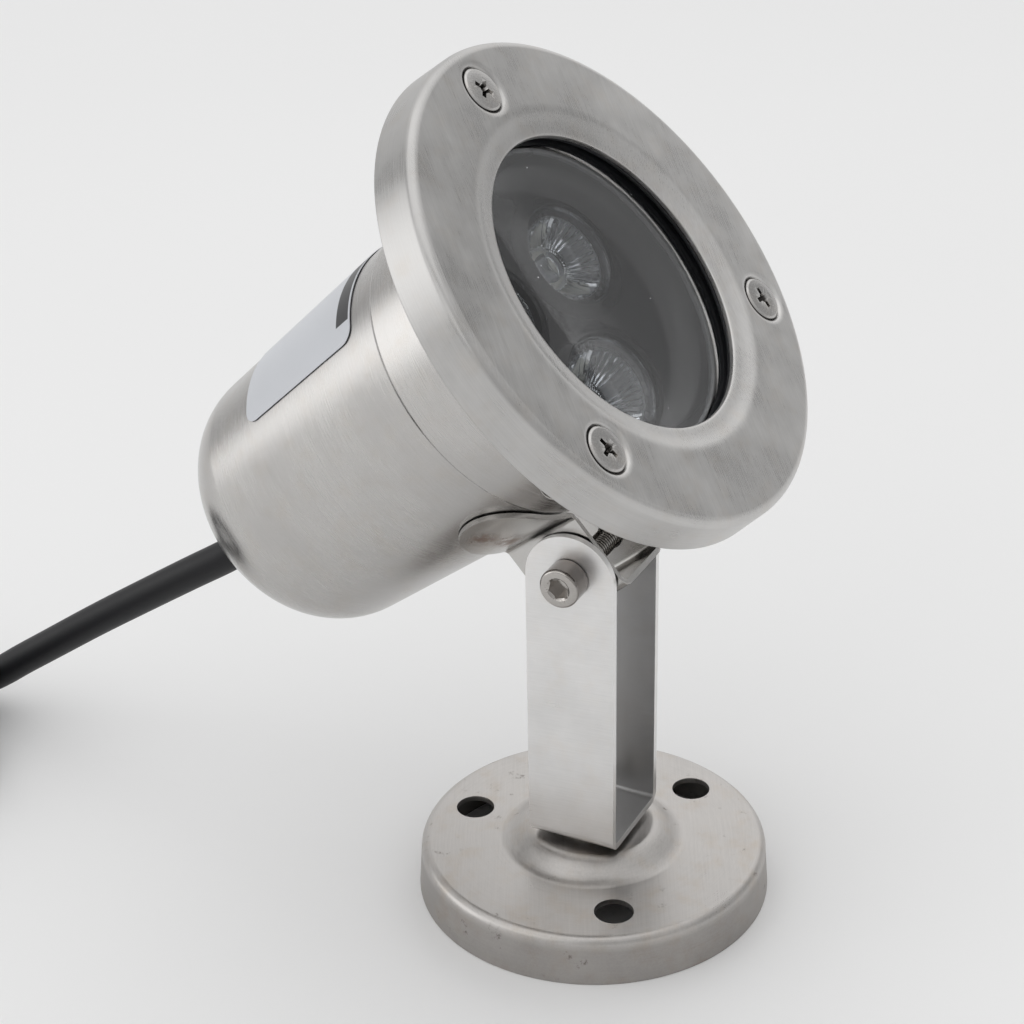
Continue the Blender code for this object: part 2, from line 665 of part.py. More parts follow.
def build_tie(swivel, mat, inner, outer, high):
    """Strap tie round the coil's section, on the side nearer the lamp."""
    x, y = COIL_CENTRE
    thick, wide = 0.55, 7.0
    loops = []
    for pad in (0.3, 0.3 + thick):
        low_z = max(COIL_LOW - pad, COIL_LOW - 0.3 - thick)
        loops.append([(inner - pad, low_z), (outer + pad, low_z), (outer + pad, high + pad),
                      (inner - pad, high + pad)])
    bm = bmesh.new()
    verts = [[[bm.verts.new(((x + side * wide / 2) * MM, (y - r) * MM, z * MM)) for r, z in loop]
              for loop in loops] for side in (-1, 1)]
    for i in range(4):
        j = (i + 1) % 4
        for s in (0, 1):
            bm.faces.new((verts[s][0][i], verts[s][0][j], verts[s][1][j], verts[s][1][i]))
        for k in (0, 1):
            bm.faces.new((verts[0][k][i], verts[0][k][j], verts[1][k][j], verts[1][k][i]))
    finish_mesh("coil_tie", bm, swivel, mat)


def main():
    clear_scene()
    steel = material("satin_steel", (0.60, 0.585, 0.565), 1.0, 0.34)
    worn = material("foot_steel", (0.55, 0.53, 0.50), 1.0, 0.38)
    bracket_steel = material("bracket_steel", (0.68, 0.665, 0.64), 1.0, 0.36)
    bright = material("bright_fastener", (0.66, 0.65, 0.62), 1.0, 0.16)
    rubber = material("black_rubber", (0.012, 0.013, 0.015), 0.0, 0.45)
    mats = {
        "resin": material("potting_resin", (0.065, 0.066, 0.068), 0.0, 0.22),
        "lens": material("clear_lens", (0.85, 0.87, 0.9), 0.0, 0.05, 0.35),
        "holder": material("lens_holder", (0.06, 0.06, 0.065), 0.0, 0.5),
        "led": material("led_phosphor", (0.85, 0.75, 0.3), 0.0, 0.4),
        "board": material("board_white", (0.75, 0.76, 0.74), 0.0, 0.5),
        "aluminium": material("aluminium", (0.72, 0.73, 0.74), 1.0, 0.4),
        "fastener": bright,
        "rubber": rubber,
    }
    glass = material("window_glass", (0.8, 0.85, 0.88), 0.0, 0.03, 0.25)
    label = material("label_film", (0.58, 0.62, 0.66), 0.0, 0.42)
    cable = material("cable_rubber", (0.015, 0.016, 0.018), 0.0, 0.5)
    tie = material("tie_black", (0.02, 0.02, 0.02), 0.0, 0.6)
    cores = (material("core_brown", (0.16, 0.06, 0.025), 0.0, 0.4),
             material("core_blue", (0.02, 0.09, 0.35), 0.0, 0.4))

    stand = empty("stand", at=(0, STAND_Y, 0))
    swivel = empty("swivel_axis", stand)
    tilt = empty("tilt_axis", swivel, (0, 0, HINGE_Z), (90 - TILT, 0, 0))
    lamp = empty("lamp_axis", tilt, (0, AXIS_OFFSET, FACE_Z))

    build_base_plate(stand, worn)
    build_pivot(stand, bright)
    cross = build_bracket(swivel, bracket_steel)
    build_tilt_bolt(cross, bright, bright)
    build_body_shell(lamp, steel)
    build_bezel(lamp, steel)
    build_bezel_screws(lamp, bright, steel)
    build_window(lamp, rubber, glass)
    build_light_engine(lamp, mats)
    build_gland(lamp, bright, rubber, cable)
    build_label(lamp, label)
    build_strap(tilt, steel)
    build_cable(swivel, cable, tie, cores)


main()
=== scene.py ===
"""The looks of an underwater pond light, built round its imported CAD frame.

Lengths in the tables are millimetres, and MM turns them into metres. The lamp's pieces are turned
about its axis: r is the distance from that axis and s the distance behind the bezel's front face.
"""
import math

import bmesh
import bpy
from mathutils import Matrix, Vector


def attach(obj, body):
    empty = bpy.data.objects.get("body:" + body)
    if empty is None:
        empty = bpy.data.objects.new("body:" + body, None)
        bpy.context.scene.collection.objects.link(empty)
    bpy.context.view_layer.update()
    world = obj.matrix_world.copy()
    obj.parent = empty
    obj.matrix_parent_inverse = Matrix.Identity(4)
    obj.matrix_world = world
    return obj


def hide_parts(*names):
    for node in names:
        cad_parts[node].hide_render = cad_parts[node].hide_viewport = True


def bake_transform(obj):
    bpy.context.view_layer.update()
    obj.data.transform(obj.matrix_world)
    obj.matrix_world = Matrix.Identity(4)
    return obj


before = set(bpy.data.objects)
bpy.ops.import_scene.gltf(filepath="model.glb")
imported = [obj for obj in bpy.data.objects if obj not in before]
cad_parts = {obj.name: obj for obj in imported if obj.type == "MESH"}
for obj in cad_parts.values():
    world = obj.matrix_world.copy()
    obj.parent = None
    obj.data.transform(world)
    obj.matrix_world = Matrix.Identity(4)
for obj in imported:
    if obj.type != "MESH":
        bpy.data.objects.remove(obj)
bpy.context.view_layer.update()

MM = 0.001
STAND_Y = -23.8
HINGE_Z = 79.5
TILT = 40.9
AXIS_OFFSET = 42.2
FACE_Z = 44.9
BASE_TURN = 3.5
SCREW_RING = 43.6
LENS_RING = 15.4
LENS_TURN = 32.6
RESIN_S = 17.1
BOARD_S = 29.3
REAR_S = 108.5
CABLE_R = 3.75
M5_RADIUS, M5_HOLE, M5_PITCH = 2.5, 2.75, 0.8
WALL_R, WALL_S, WALL_SLOPE = 32.4, 35.9, 0.0644
FOOT_HOLES = 27.6
LABEL_FRONT, LABEL_BACK, LABEL_HALF_TURN = 42.2, 78.2, 48.5
LABEL_BAND = (-0.0468, -0.0466, -0.0426, -0.0428)

CAMERA_AT = (-392.2, -181.0, 316.0)
CAMERA_RIGHT, CAMERA_UP = (0.44472, -0.89551, -0.01681), (0.42315, 0.19352, 0.88515)
CAMERA_LENS = 85.8
AIM = (0, 0, 0.08)
LIGHTS = (
    ("left", (-1.3, 0.5, 0.9), (1.4, 1.0), 2.4),
    ("top", (0.0, 0.15, 1.4), (1.5, 1.5), 3.4),
)

SKY_BASE = 0.52
SKY = (
    ((-0.42, 0.90, 0.12), 0.84, 0.99, 1.30),
    ((0.0, 0.0, 1.0), 0.3, 0.95, 0.25),
    ((0.75, 0.45, 0.45), 0.6, 0.97, 0.32),
    ((0.90, -0.20, 0.35), 0.6, 0.97, 0.20),
    ((0.79, -0.52, 0.33), 0.95, 0.995, -0.30),
)


def shift(x=0.0, y=0.0, z=0.0):
    return Matrix.Translation(Vector((x, y, z)) * MM)


def turn(degrees, axis):
    return Matrix.Rotation(math.radians(degrees), 4, axis)


STAND = shift(0, STAND_Y, 0)
HINGE = STAND @ shift(0, 0, HINGE_Z)
HEAD = HINGE @ turn(90 - TILT, "X")
LAMP = HEAD @ shift(0, AXIS_OFFSET, FACE_Z)
CROSS = HINGE @ turn(90, "Y")


# ---------------------------------------------------------------- mesh tools

def new_object(name, mesh, place, mat, sharp=38):
    mesh.validate()
    mesh.shade_smooth()
    mesh.set_sharp_from_angle(angle=math.radians(sharp))
    obj = bpy.data.objects.new(name, mesh)
    bpy.context.scene.collection.objects.link(obj)
    obj.matrix_world = place
    if mat:
        mesh.materials.append(mat)
    return obj


def from_bmesh(name, bm, place, mat, sharp=38):
    bmesh.ops.recalc_face_normals(bm, faces=bm.faces)
    mesh = bpy.data.meshes.new(name)
    bm.to_mesh(mesh)
    bm.free()
    return new_object(name, mesh, place, mat, sharp)


def fillet(points, steps=5):
    """A closed outline whose corners are rounded by each point's third number."""
    out = []
    for i, p in enumerate(points):
        here = Vector(p[:2])
        if len(p) < 3:
            out.append(tuple(here))
            continue
        back = Vector(points[i - 1][:2]) - here
        ahead = Vector(points[(i + 1) % len(points)][:2]) - here
        half = back.angle(ahead) / 2
        reach = min(p[2] / math.tan(half), 0.48 * back.length, 0.48 * ahead.length)
        radius = reach * math.tan(half)
        centre = here + (back.normalized() + ahead.normalized()).normalized() * radius / math.sin(half)
        a = here + back.normalized() * reach - centre
        b = here + ahead.normalized() * reach - centre
        whole = a.angle_signed(b)
        for k in range(steps + 1):
            c = a.copy()
            c.rotate(Matrix.Rotation(-whole * k / steps, 2))
            out.append(tuple(centre + c))
    return out


def arc(centre, radius, start, end, steps):
    out = []
    for i in range(steps + 1):
        a = math.radians(start + (end - start) * i / steps)
        out.append((centre[0] + radius * math.cos(a), centre[1] + radius * math.sin(a)))
    return out


def lathe(name, outline, place, mat, segments=160, along=-1, rough=None, sharp=38):
    """Turned solid from a closed outline of (r, s[, corner radius]). rough(angle, r, s) may move a
    point to (r, s)."""
    bm = bmesh.new()
    rings = []
    for r, s in fillet(outline):
        if r < 1e-6:
            rings.append([bm.verts.new((0, 0, along * s * MM))])
            continue
        ring = []
        for k in range(segments):
            a = 2 * math.pi * k / segments
            rr, ss = rough(a, r, s) if rough else (r, s)
            ring.append(bm.verts.new((rr * MM * math.cos(a), rr * MM * math.sin(a), along * ss * MM)))
        rings.append(ring)
    for a, b in zip(rings, rings[1:] + rings[:1]):
        if len(a) == 1 and len(b) == 1:
            continue
        for k in range(segments):
            j = (k + 1) % segments
            corners = [a[k % len(a)], a[j % len(a)], b[j % len(b)], b[k % len(b)]]
            bm.faces.new(list(dict.fromkeys(corners)))
    return from_bmesh(name, bm, place, mat, sharp)


def carve(obj, tools, operation="DIFFERENCE"):
    """Cut or join obj with the tools, write the result into its mesh and drop the tools."""
    for tool in tools:
        step = obj.modifiers.new("cut", "BOOLEAN")
        step.operation = operation
        step.solver = "EXACT"
        step.object = tool
    bpy.context.view_layer.update()
    graph = bpy.context.evaluated_depsgraph_get()
    made = bpy.data.meshes.new_from_object(obj.evaluated_get(graph))
    obj.modifiers.clear()
    mats = list(obj.data.materials)
    obj.data = made
    made.materials.clear()
    for m in mats:
        made.materials.append(m)
    made.polygons.foreach_set("material_index", [0] * len(made.polygons))
    made.shade_smooth()
    made.set_sharp_from_angle(angle=math.radians(32))
    for tool in tools:
        bpy.data.objects.remove(tool, do_unlink=True)
    return obj


def soften(obj, width, segments=2, angle=32):
    """Round the sharp edges, and keep flat faces looking flat."""
    bevel = obj.modifiers.new("edge", "BEVEL")
    bevel.width = width * MM
    bevel.segments = segments
    bevel.limit_method = "ANGLE"
    bevel.angle_limit = math.radians(angle)
    bevel.use_clamp_overlap = True
    bevel.harden_normals = False
    weigh = obj.modifiers.new("normals", "WEIGHTED_NORMAL")
    weigh.keep_sharp = False
    weigh.mode = "FACE_AREA"
    return obj


def peg(radius, low, high, place, segments=64, spin=0.0):
    """A cutter: a plain rod, or with few segments a prism."""
    outline = [(0, low), (radius, low), (radius, high), (0, high)]
    return lathe("cutter", outline, place @ turn(spin, "Z"), None, segments)


def hexagon(name, flats, low, high, hole, place, mat, spin=0.0):
    """Hexagon nut or collar with turned chamfers and a countersunk hole."""
    rim = flats / math.sqrt(3)
    inset = 0.8
    drop = 0.58 * inset
    disc = [(0, low), (rim - inset, low), (rim + 0.02, low + drop),
            (rim + 0.02, high - drop), (rim - inset, high), (0, high)]
    nut = lathe(name, disc, place, mat, 96)
    carve(nut, [peg(rim, low - 1, high + 1, place, 6, spin)], "INTERSECT")
    bore = [(0, low - 1), (hole + 1.4, low - 1), (hole, low + 0.4), (hole, high - 0.4),
            (hole + 1.4, high + 1), (0, high + 1)]
    carve(nut, [lathe("cutter", bore, place, None, 64)])
    return soften(nut, 0.12)


def thread(name, radius, pitch, low, high, place, mat, depth=0.32, segments=40):
    """A screw thread as one helical ridge, closed at both ends."""
    steps = max(int((high - low) / pitch * 12), 4)
    bm = bmesh.new()
    rings = []
    for i in range(steps + 1):
        s = low + (high - low) * i / steps
        fade = min(1.0, (i + 0.5) / 5, (steps - i + 0.5) / 5)
        ring = []
        for k in range(segments):
            a = 2 * math.pi * k / segments
            phase = (s / pitch + k / segments) % 1.0
            groove = depth * (abs(2 * phase - 1)) ** 0.8
            r = (radius - groove) * (0.9 + 0.1 * fade)
            ring.append(bm.verts.new((r * MM * math.cos(a), r * MM * math.sin(a), -s * MM)))
        rings.append(ring)
    for a, b in zip(rings, rings[1:]):
        for k in range(segments):
            j = (k + 1) % segments
            bm.faces.new((a[k], a[j], b[j], b[k]))
    bm.faces.new(rings[0])
    bm.faces.new(list(reversed(rings[-1])))
    return from_bmesh(name, bm, place, mat, 60)


def strip(name, stations, path, sheet, to_local, place, mat):
    """Bent sheet strip, as a closed solid of the given thickness."""
    bm = bmesh.new()
    grids = ([], [])
    for w in stations:
        line = path(w)
        for side, grid in enumerate(grids):
            grid.append([
                bm.verts.new(Vector(to_local(a + na * sheet * side, b + nb * sheet * side, w)) * MM)
                for a, b, na, nb in line
            ])
    inner, outer = grids
    last, end = len(stations) - 1, len(inner[0]) - 1
    for i in range(last):
        for j in range(end):
            for grid in grids:
                bm.faces.new((grid[i][j], grid[i + 1][j], grid[i + 1][j + 1], grid[i][j + 1]))
        for j in (0, end):
            bm.faces.new((inner[i][j], inner[i + 1][j], outer[i + 1][j], outer[i][j]))
    for j in range(end):
        for i in (0, last):
            bm.faces.new((inner[i][j], inner[i][j + 1], outer[i][j + 1], outer[i][j]))
    return from_bmesh(name, bm, place, mat)


def own(obj, body, slot, *nodes):
    """Put the piece on its body and hide the CAD nodes it stands for. The slot argument is not used."""
    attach(obj, body)
    if nodes:
        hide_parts(*nodes)
    return obj


# ---------------------------------------------------------------- material tools

class Look:
    """A node material under construction."""

    def __init__(self, name):
        self.mat = bpy.data.materials.new(name)
        self.mat.use_nodes = True
        self.tree = self.mat.node_tree
        self.shader = self.tree.nodes["Principled BSDF"]
        self.out = self.tree.nodes["Material Output"]
        self.at = self.add("TexCoord").outputs["Object"]

    def add(self, kind, inputs=None, **settings):
        node = self.tree.nodes.new("ShaderNode" + kind)
        for key, value in settings.items():
            setattr(node, key, value)
        for key, value in (inputs or {}).items():
            self.put(node.inputs[key], value)
        return node

    def put(self, socket, value):
        if isinstance(value, bpy.types.NodeSocket):
            self.tree.links.new(value, socket)
        elif isinstance(value, (tuple, list)) and len(value) == 3 and socket.type == "RGBA":
            socket.default_value = (*value, 1.0)
        else:
            socket.default_value = value

    def set(self, **inputs):
        for key, value in inputs.items():
            self.put(self.shader.inputs[key.replace("_", " ")], value)
        return self

    def sum(self, operation, a, b=0.0, clamp=False):
        node = self.add("Math", {0: a, 1: b}, operation=operation, use_clamp=clamp)
        return node.outputs[0]

    def vec(self, operation, a, b=None, scale=None):
        inputs = {0: a}
        if b is not None:
            inputs[1] = b
        if scale is not None:
            inputs["Scale"] = scale
        node = self.add("VectorMath", inputs, operation=operation)
        return node.outputs["Value" if operation in ("DOT_PRODUCT", "LENGTH", "DISTANCE") else "Vector"]

    def split(self, vector=None):
        return self.add("SeparateXYZ", {0: vector or self.at}).outputs

    def noise(self, vector, scale, detail=2.0, w=None, rough=0.55):
        inputs = {"Vector": vector, "Scale": scale, "Detail": detail, "Roughness": rough}
        if w is not None:
            inputs["W"] = w
        return self.add("TexNoise", inputs, noise_dimensions="3D" if w is None else "4D").outputs["Fac"]

    def band(self, value, low, high, a=0.0, b=1.0):
        """value mapped from low..high to a..b, smooth and clamped."""
        node = self.add("MapRange", {"Value": value, "From Min": low, "From Max": high, "To Min": a,
                                     "To Max": b}, interpolation_type="SMOOTHSTEP", clamp=True)
        return node.outputs["Result"]

    def blend(self, fac, a, b, mode="MIX"):
        node = self.add("Mix", data_type="RGBA", blend_type=mode, clamp_factor=True)
        for key, value in ((0, fac), (6, a), (7, b)):
            self.put(node.inputs[key], value)
        return node.outputs[2]

    def mix(self, fac, a, b):
        node = self.add("Mix", data_type="FLOAT", clamp_factor=True)
        for key, value in ((0, fac), (2, a), (3, b)):
            self.put(node.inputs[key], value)
        return node.outputs[0]

    def bump(self, height, strength, distance):
        inputs = {"Height": height, "Strength": strength, "Distance": distance}
        return self.add("Bump", inputs).outputs[0]

    def off_axis(self):
        """Distance from the local Z axis, in metres."""
        x, y, _ = self.split()
        return self.vec("LENGTH", self.add("CombineXYZ", {0: x, 1: y, 2: 0.0}).outputs[0])

    def spot(self, centre, low, high):
        """1 inside low of a point in object space, 0 beyond high, both in millimetres."""
        away = self.vec("DISTANCE", self.at, tuple(c * MM for c in centre))
        return self.band(away, low * MM, high * MM, 1.0, 0.0)


def round_brush(look, fine, around):
    """Brush marks that run round the local Z axis."""
    x, y, z = look.split()
    flat = look.add("CombineXYZ", {0: x, 1: y, 2: 0.0}).outputs[0]
    radius = look.vec("LENGTH", flat)
    unit = look.split(look.vec("NORMALIZE", flat))
    vector = look.add("CombineXYZ", {0: look.sum("MULTIPLY", unit[0], around),
                                     1: look.sum("MULTIPLY", unit[1], around),
                                     2: look.sum("MULTIPLY", z, fine)}).outputs[0]
    return look.noise(vector, 1.0, 3.0, look.sum("MULTIPLY", radius, fine))


def line_brush(look, way, fine, slow):
    """Brush marks that run straight along way."""
    along = look.vec("DOT_PRODUCT", look.at, way)
    squeeze = look.vec("SCALE", way, scale=look.sum("MULTIPLY", along, slow - fine))
    return look.noise(look.vec("ADD", look.vec("SCALE", look.at, scale=fine), squeeze), 1.0, 3.0)


def steel(name, colour, rough, streaks, contrast=0.10, grain=0.07, smudge=0.10, tint=0.25,
          aniso=0.4, bump=0.25, stain=0.0, tangent=None, extra=None):
    """Brushed stainless steel. streaks(look) gives the brush marks, 0 to 1."""
    look = Look(name)
    marks = look.band(streaks(look), 0.28, 0.72)
    cloud = look.noise(look.at, 55.0, 4.0, rough=0.6)
    patch = look.noise(look.at, 170.0, 3.0, rough=0.6)
    mark = look.sum("SUBTRACT", marks, 0.5)
    haze = look.sum("SUBTRACT", look.band(cloud, 0.28, 0.72), 0.5)
    roughness = look.sum("ADD", look.sum("MULTIPLY", mark, 2 * grain),
                         look.sum("ADD", look.sum("MULTIPLY", haze, smudge), rough))
    shade = look.sum("ADD", look.sum("MULTIPLY", mark, 2 * contrast),
                     look.sum("ADD", look.sum("MULTIPLY", haze, 1.2 * smudge), 1.0))
    base = look.vec("SCALE", tuple(colour), scale=shade)
    warm = look.band(patch, 0.45, 0.75)
    base = look.blend(look.sum("MULTIPLY", warm, tint), base,
                      look.vec("MULTIPLY", base, (0.95, 0.90, 0.84)))
    if stain:
        dots = look.noise(look.at, 260.0, 5.0, rough=0.7)
        dirt = look.band(dots, 0.60, 0.72)
        dirt = look.sum("MULTIPLY", dirt, look.band(cloud, 0.42, 0.62))
        base = look.blend(look.sum("MULTIPLY", dirt, stain), base, (0.16, 0.13, 0.11))
        roughness = look.sum("ADD", roughness, look.sum("MULTIPLY", dirt, 0.2))
    if extra:
        base, roughness = extra(look, base, roughness)
    look.set(Base_Color=base, Metallic=1.0, Roughness=roughness, Anisotropic=aniso,
             Normal=look.bump(marks, bump, 0.00003))
    if tangent == "round":
        look.set(Tangent=look.add("Tangent", direction_type="RADIAL", axis="Z").outputs[0])
    return look.mat


def face_or_round(look):
    """Sanded straight across flat faces, brushed round the skirt and the dished lip."""
    normal = look.add("TexCoord").outputs["Normal"]
    flat = look.band(look.sum("ABSOLUTE", look.split(normal)[2]), 0.55, 0.9)
    across = line_brush(look, Vector((0.45, 0.893, 0.0)), 4200.0, 80.0)
    fine = line_brush(look, Vector((0.32, 0.947, 0.0)), 9000.0, 180.0)
    sanded = look.mix(0.45, across, fine)
    around = look.mix(0.5, 0.5, round_brush(look, 6500.0, 4.0))
    return look.mix(flat, around, sanded)


def turned(fine=3600.0, around=3.2):
    def streaks(look):
        return look.mix(0.45, round_brush(look, fine, around), round_brush(look, fine * 2.4, around * 2))
    return streaks


def straight(way, fine=3200.0, slow=90.0):
    def streaks(look):
        return look.mix(0.4, line_brush(look, Vector(way).normalized(), fine, slow),
                        line_brush(look, Vector(way).normalized(), fine * 2.3, slow * 2))
    return streaks


def foot_brush(look):
    """Turned marks crossed by straight sanding, as on a pressed foot that was cleaned by hand."""
    return look.mix(0.55, turned(2600.0, 2.4)(look), straight((0.9, 0.43, 0), 2200.0, 60.0)(look))


def painted_inner_shade(look, base, roughness):
    """Painted shade: the bracket's inner faces, between the arms, are darkened, and are a little
    rougher.
    """
    inner = look.band(look.sum("ABSOLUTE", look.split()[0]), 0.00985, 0.0099, 1.0, 0.0)
    base = look.blend(look.sum("MULTIPLY", inner, 0.6), base, (0.36, 0.36, 0.365))
    return base, look.sum("ADD", roughness, look.sum("MULTIPLY", inner, 0.04))


def painted_side_shade(look, base, roughness):
    """Painted shade: one side of the bezel's face is a little darker than the other."""
    across = look.vec("DOT_PRODUCT", look.at, (0.6, -0.8, 0.0))
    return look.vec("SCALE", base, scale=look.band(across, -0.048, 0.040, 0.84, 1.05)), roughness


def painted_dark_side(look, base, roughness):
    """Painted dark reflection: the cap screw's upright side is darker than its top."""
    below_top = look.band(look.split()[2], 0.0158, 0.0162, 1.0, 0.0)
    rim = look.sum("MULTIPLY", look.band(look.off_axis(), 0.0039, 0.0042), below_top)
    return look.blend(look.sum("MULTIPLY", rim, 0.65), base, (0.13, 0.115, 0.11)), roughness


def painted_wall_shade(look, base, roughness):
    """Painted shade: the foot's upright wall is darker than its top, and a little rougher."""
    side = look.band(look.split()[2], 0.0075, 0.0098, 1.0, 0.0)
    darker = look.vec("MULTIPLY", base, (0.70, 0.69, 0.685))
    base = look.blend(look.sum("MULTIPLY", side, 0.75), base, darker)
    return base, look.sum("ADD", roughness, look.sum("MULTIPLY", side, 0.06))


def painted_recess_shade(look, base, roughness):
    """Painted shade at the bottom of the cross recess and round the head's edge, which are also rougher.
    """
    deep = look.band(look.split()[2], -0.0010, -0.0003, 1.0, 0.0)
    edge = look.band(look.off_axis(), 0.0045, 0.0047)
    shade_mask = look.sum("MAXIMUM", deep, edge)
    base = look.blend(look.sum("MULTIPLY", shade_mask, 0.9), base, (0.03, 0.025, 0.022))
    return base, look.sum("ADD", roughness, look.sum("MULTIPLY", shade_mask, 0.3))


def dark_grooves(look, base, roughness):
    """The thread's grooves are darkened almost to black."""
    groove = look.band(look.off_axis(), 0.00228, 0.00246, 0.92, 0.0)
    return look.blend(groove, base, (0.035, 0.032, 0.03)), roughness


def plain_grain(look):
    return look.noise(look.at, 2600.0, 3.0)


def heat_marks(look, base, roughness):
    """Straw and brown heat tint round the spot welds on the strap's tabs."""
    wobble = look.noise(look.at, 420.0, 3.0)
    for x, n, u in ((-20.6, 17.6, -3.4), (-15.6, 13.8, -2.6), (20.6, 17.6, -3.4), (15.6, 13.8, -2.6)):
        mark = look.sum("MULTIPLY", look.spot((x, n, u), 1.2, 4.4), look.band(wobble, 0.3, 0.6))
        base = look.blend(look.sum("MULTIPLY", mark, 0.75), base, (0.22, 0.13, 0.09))
        roughness = look.sum("ADD", roughness, look.sum("MULTIPLY", mark, 0.12))
    return base, roughness


def dull(name, colour, rough, grain_scale=900.0, contrast=0.25, bump=0.15, sheen=0.0,
         distance=0.00004, specular=0.5):
    """Rubber, plastic, resin and film: a fine grain, soft colour variation and worn gloss."""
    look = Look(name)
    fine = look.noise(look.at, grain_scale, 4.0)
    broad = look.noise(look.at, 70.0, 3.0)
    mottle = look.sum("MULTIPLY", look.mix(0.5, fine, broad), contrast)
    shade = look.sum("ADD", 1.0 - contrast / 2, mottle)
    gloss = look.sum("ADD", rough - 0.06, look.sum("MULTIPLY", broad, 0.12))
    look.set(Base_Color=look.vec("SCALE", tuple(colour), scale=shade), Roughness=gloss,
             Specular_IOR_Level=specular, Normal=look.bump(fine, bump, distance))
    if sheen:
        look.set(Sheen_Weight=sheen)
    return look.mat


def see_through(name, tint, ior, haze=0.0, dust=False):
    """Clear glass or plastic. Shadow rays pass straight through, so what is behind stays lit."""
    look = Look(name)
    fine = look.noise(look.at, 300.0, 3.0)
    glass = look.add("BsdfGlass", {"Color": tint, "IOR": ior,
                                   "Roughness": look.sum("MULTIPLY", fine, 2 * haze)})
    clear = look.add("BsdfTransparent", {"Color": tint})
    path = look.add("LightPath")
    light = look.sum("MAXIMUM", path.outputs["Is Shadow Ray"], path.outputs["Is Diffuse Ray"])
    surface = look.add("MixShader", {0: light, 1: glass.outputs[0], 2: clear.outputs[0]}).outputs[0]
    if dust:
        cells = look.add("TexVoronoi", {"Vector": look.at, "Scale": 520.0})
        speck = look.band(cells.outputs["Distance"], 0.05, 0.10, 1.0, 0.0)
        some = look.band(look.split(cells.outputs["Color"])[0], 0.93, 0.95)
        cover = look.sum("MULTIPLY", speck, some)
        white = look.add("BsdfDiffuse", {"Color": (0.75, 0.76, 0.78)})
        surface = look.add("MixShader", {0: cover, 1: surface, 2: white.outputs[0]}).outputs[0]
    look.tree.links.new(surface, look.out.inputs["Surface"])
    return look.mat


def label_look():
    look = Look("label_film")
    x, y, z = look.split()
    angle = look.sum("ARCTAN2", y, x)
    edge = look.sum("MULTIPLY", look.band(z, *LABEL_BAND[:2]), look.band(z, *LABEL_BAND[2:]))
    keep = look.sum("SUBTRACT", 1.0, look.band(angle, math.radians(129.8), math.radians(130.0)))
    keep = look.sum("MULTIPLY", keep, look.band(angle, math.radians(50.0), math.radians(50.2)))
    band = look.sum("MULTIPLY", edge, keep)
    fibre = look.noise(look.at, 1500.0, 3.0)
    broad = look.noise(look.at, 60.0, 3.0)
    shade = look.sum("ADD", 0.96, look.sum("MULTIPLY", broad, 0.08))
    film = look.vec("SCALE", (0.545, 0.56, 0.59), scale=shade)
    look.set(Base_Color=look.blend(band, film, (0.03, 0.03, 0.032)),
             Roughness=look.sum("ADD", 0.34, look.sum("MULTIPLY", broad, 0.1)),
             Normal=look.bump(fibre, 0.06, 0.00002))
    return look.mat


BODY_STEEL = steel("body_steel", (0.50, 0.488, 0.476), 0.24, turned(6000.0, 4.0), tangent="round",
                   aniso=0.5, contrast=0.06, grain=0.05, smudge=0.08, bump=0.15, tint=0.35)
# The bezel's face carries painted shade on one side.
BEZEL_STEEL = steel("bezel_steel", (0.57, 0.562, 0.552), 0.33, face_or_round, aniso=0.25,
                    contrast=0.085, grain=0.06, smudge=0.14, bump=0.24, tint=0.35, extra=painted_side_shade)
STRAP_STEEL = steel("strap_steel", (0.55, 0.54, 0.525), 0.22, straight((1, 0.3, 0)), contrast=0.03,
                    grain=0.03, bump=0.06, smudge=0.05, extra=heat_marks)
# The arms' inner faces carry painted shade.
ARM_STEEL = steel("arm_steel", (0.79, 0.783, 0.775), 0.34, straight((0, 1, -0.08)), aniso=0.2,
                  contrast=0.03, grain=0.04, smudge=0.09, bump=0.05, extra=painted_inner_shade)
# The foot's upright wall carries painted shade.
FOOT_STEEL = steel("foot_steel", (0.50, 0.482, 0.466), 0.38, foot_brush, aniso=0.2, contrast=0.10,
                   smudge=0.18, tint=0.8, stain=0.7, extra=painted_wall_shade)
BRIGHT = steel("bright_steel", (0.44, 0.425, 0.405), 0.12, plain_grain, contrast=0.04, grain=0.04,
               aniso=0.0, bump=0.08, smudge=0.08, tint=0.8)
# The cap screw's side carries a painted dark reflection.
BOLT = steel("bolt_steel", (0.44, 0.42, 0.40), 0.12, plain_grain, contrast=0.04, grain=0.04,
             aniso=0.0, bump=0.08, smudge=0.10, tint=0.8, extra=painted_dark_side)
# The bezel screws carry painted shade in the recess and round the head.
SCREW = steel("screw_steel", (0.52, 0.51, 0.50), 0.18, plain_grain, contrast=0.06, grain=0.05,
              aniso=0.0, bump=0.2, smudge=0.1, tint=0.5, extra=painted_recess_shade)
THREAD = steel("thread_steel", (0.55, 0.53, 0.50), 0.25, plain_grain, contrast=0.05, aniso=0.0,
               bump=0.0, extra=dark_grooves)
RUBBER = dull("black_rubber", (0.012, 0.013, 0.015), 0.45)
JACKET = dull("cable_jacket", (0.006, 0.006, 0.0075), 0.48, 1400.0, 0.4, 0.2, specular=0.35)
RESIN = dull("potting_resin", (0.027, 0.027, 0.0285), 0.16, 500.0, 0.2, 0.02, specular=0.4)
SEALANT = dull("sealant", (0.10, 0.105, 0.11), 0.18, 700.0, 0.5, 0.5, distance=0.0002)
HOLDER = dull("lens_holder", (0.34, 0.34, 0.35), 0.35)
PHOSPHOR = dull("led_phosphor", (0.66, 0.65, 0.58), 0.35)
BOARD = dull("board_white", (0.72, 0.73, 0.71), 0.45)
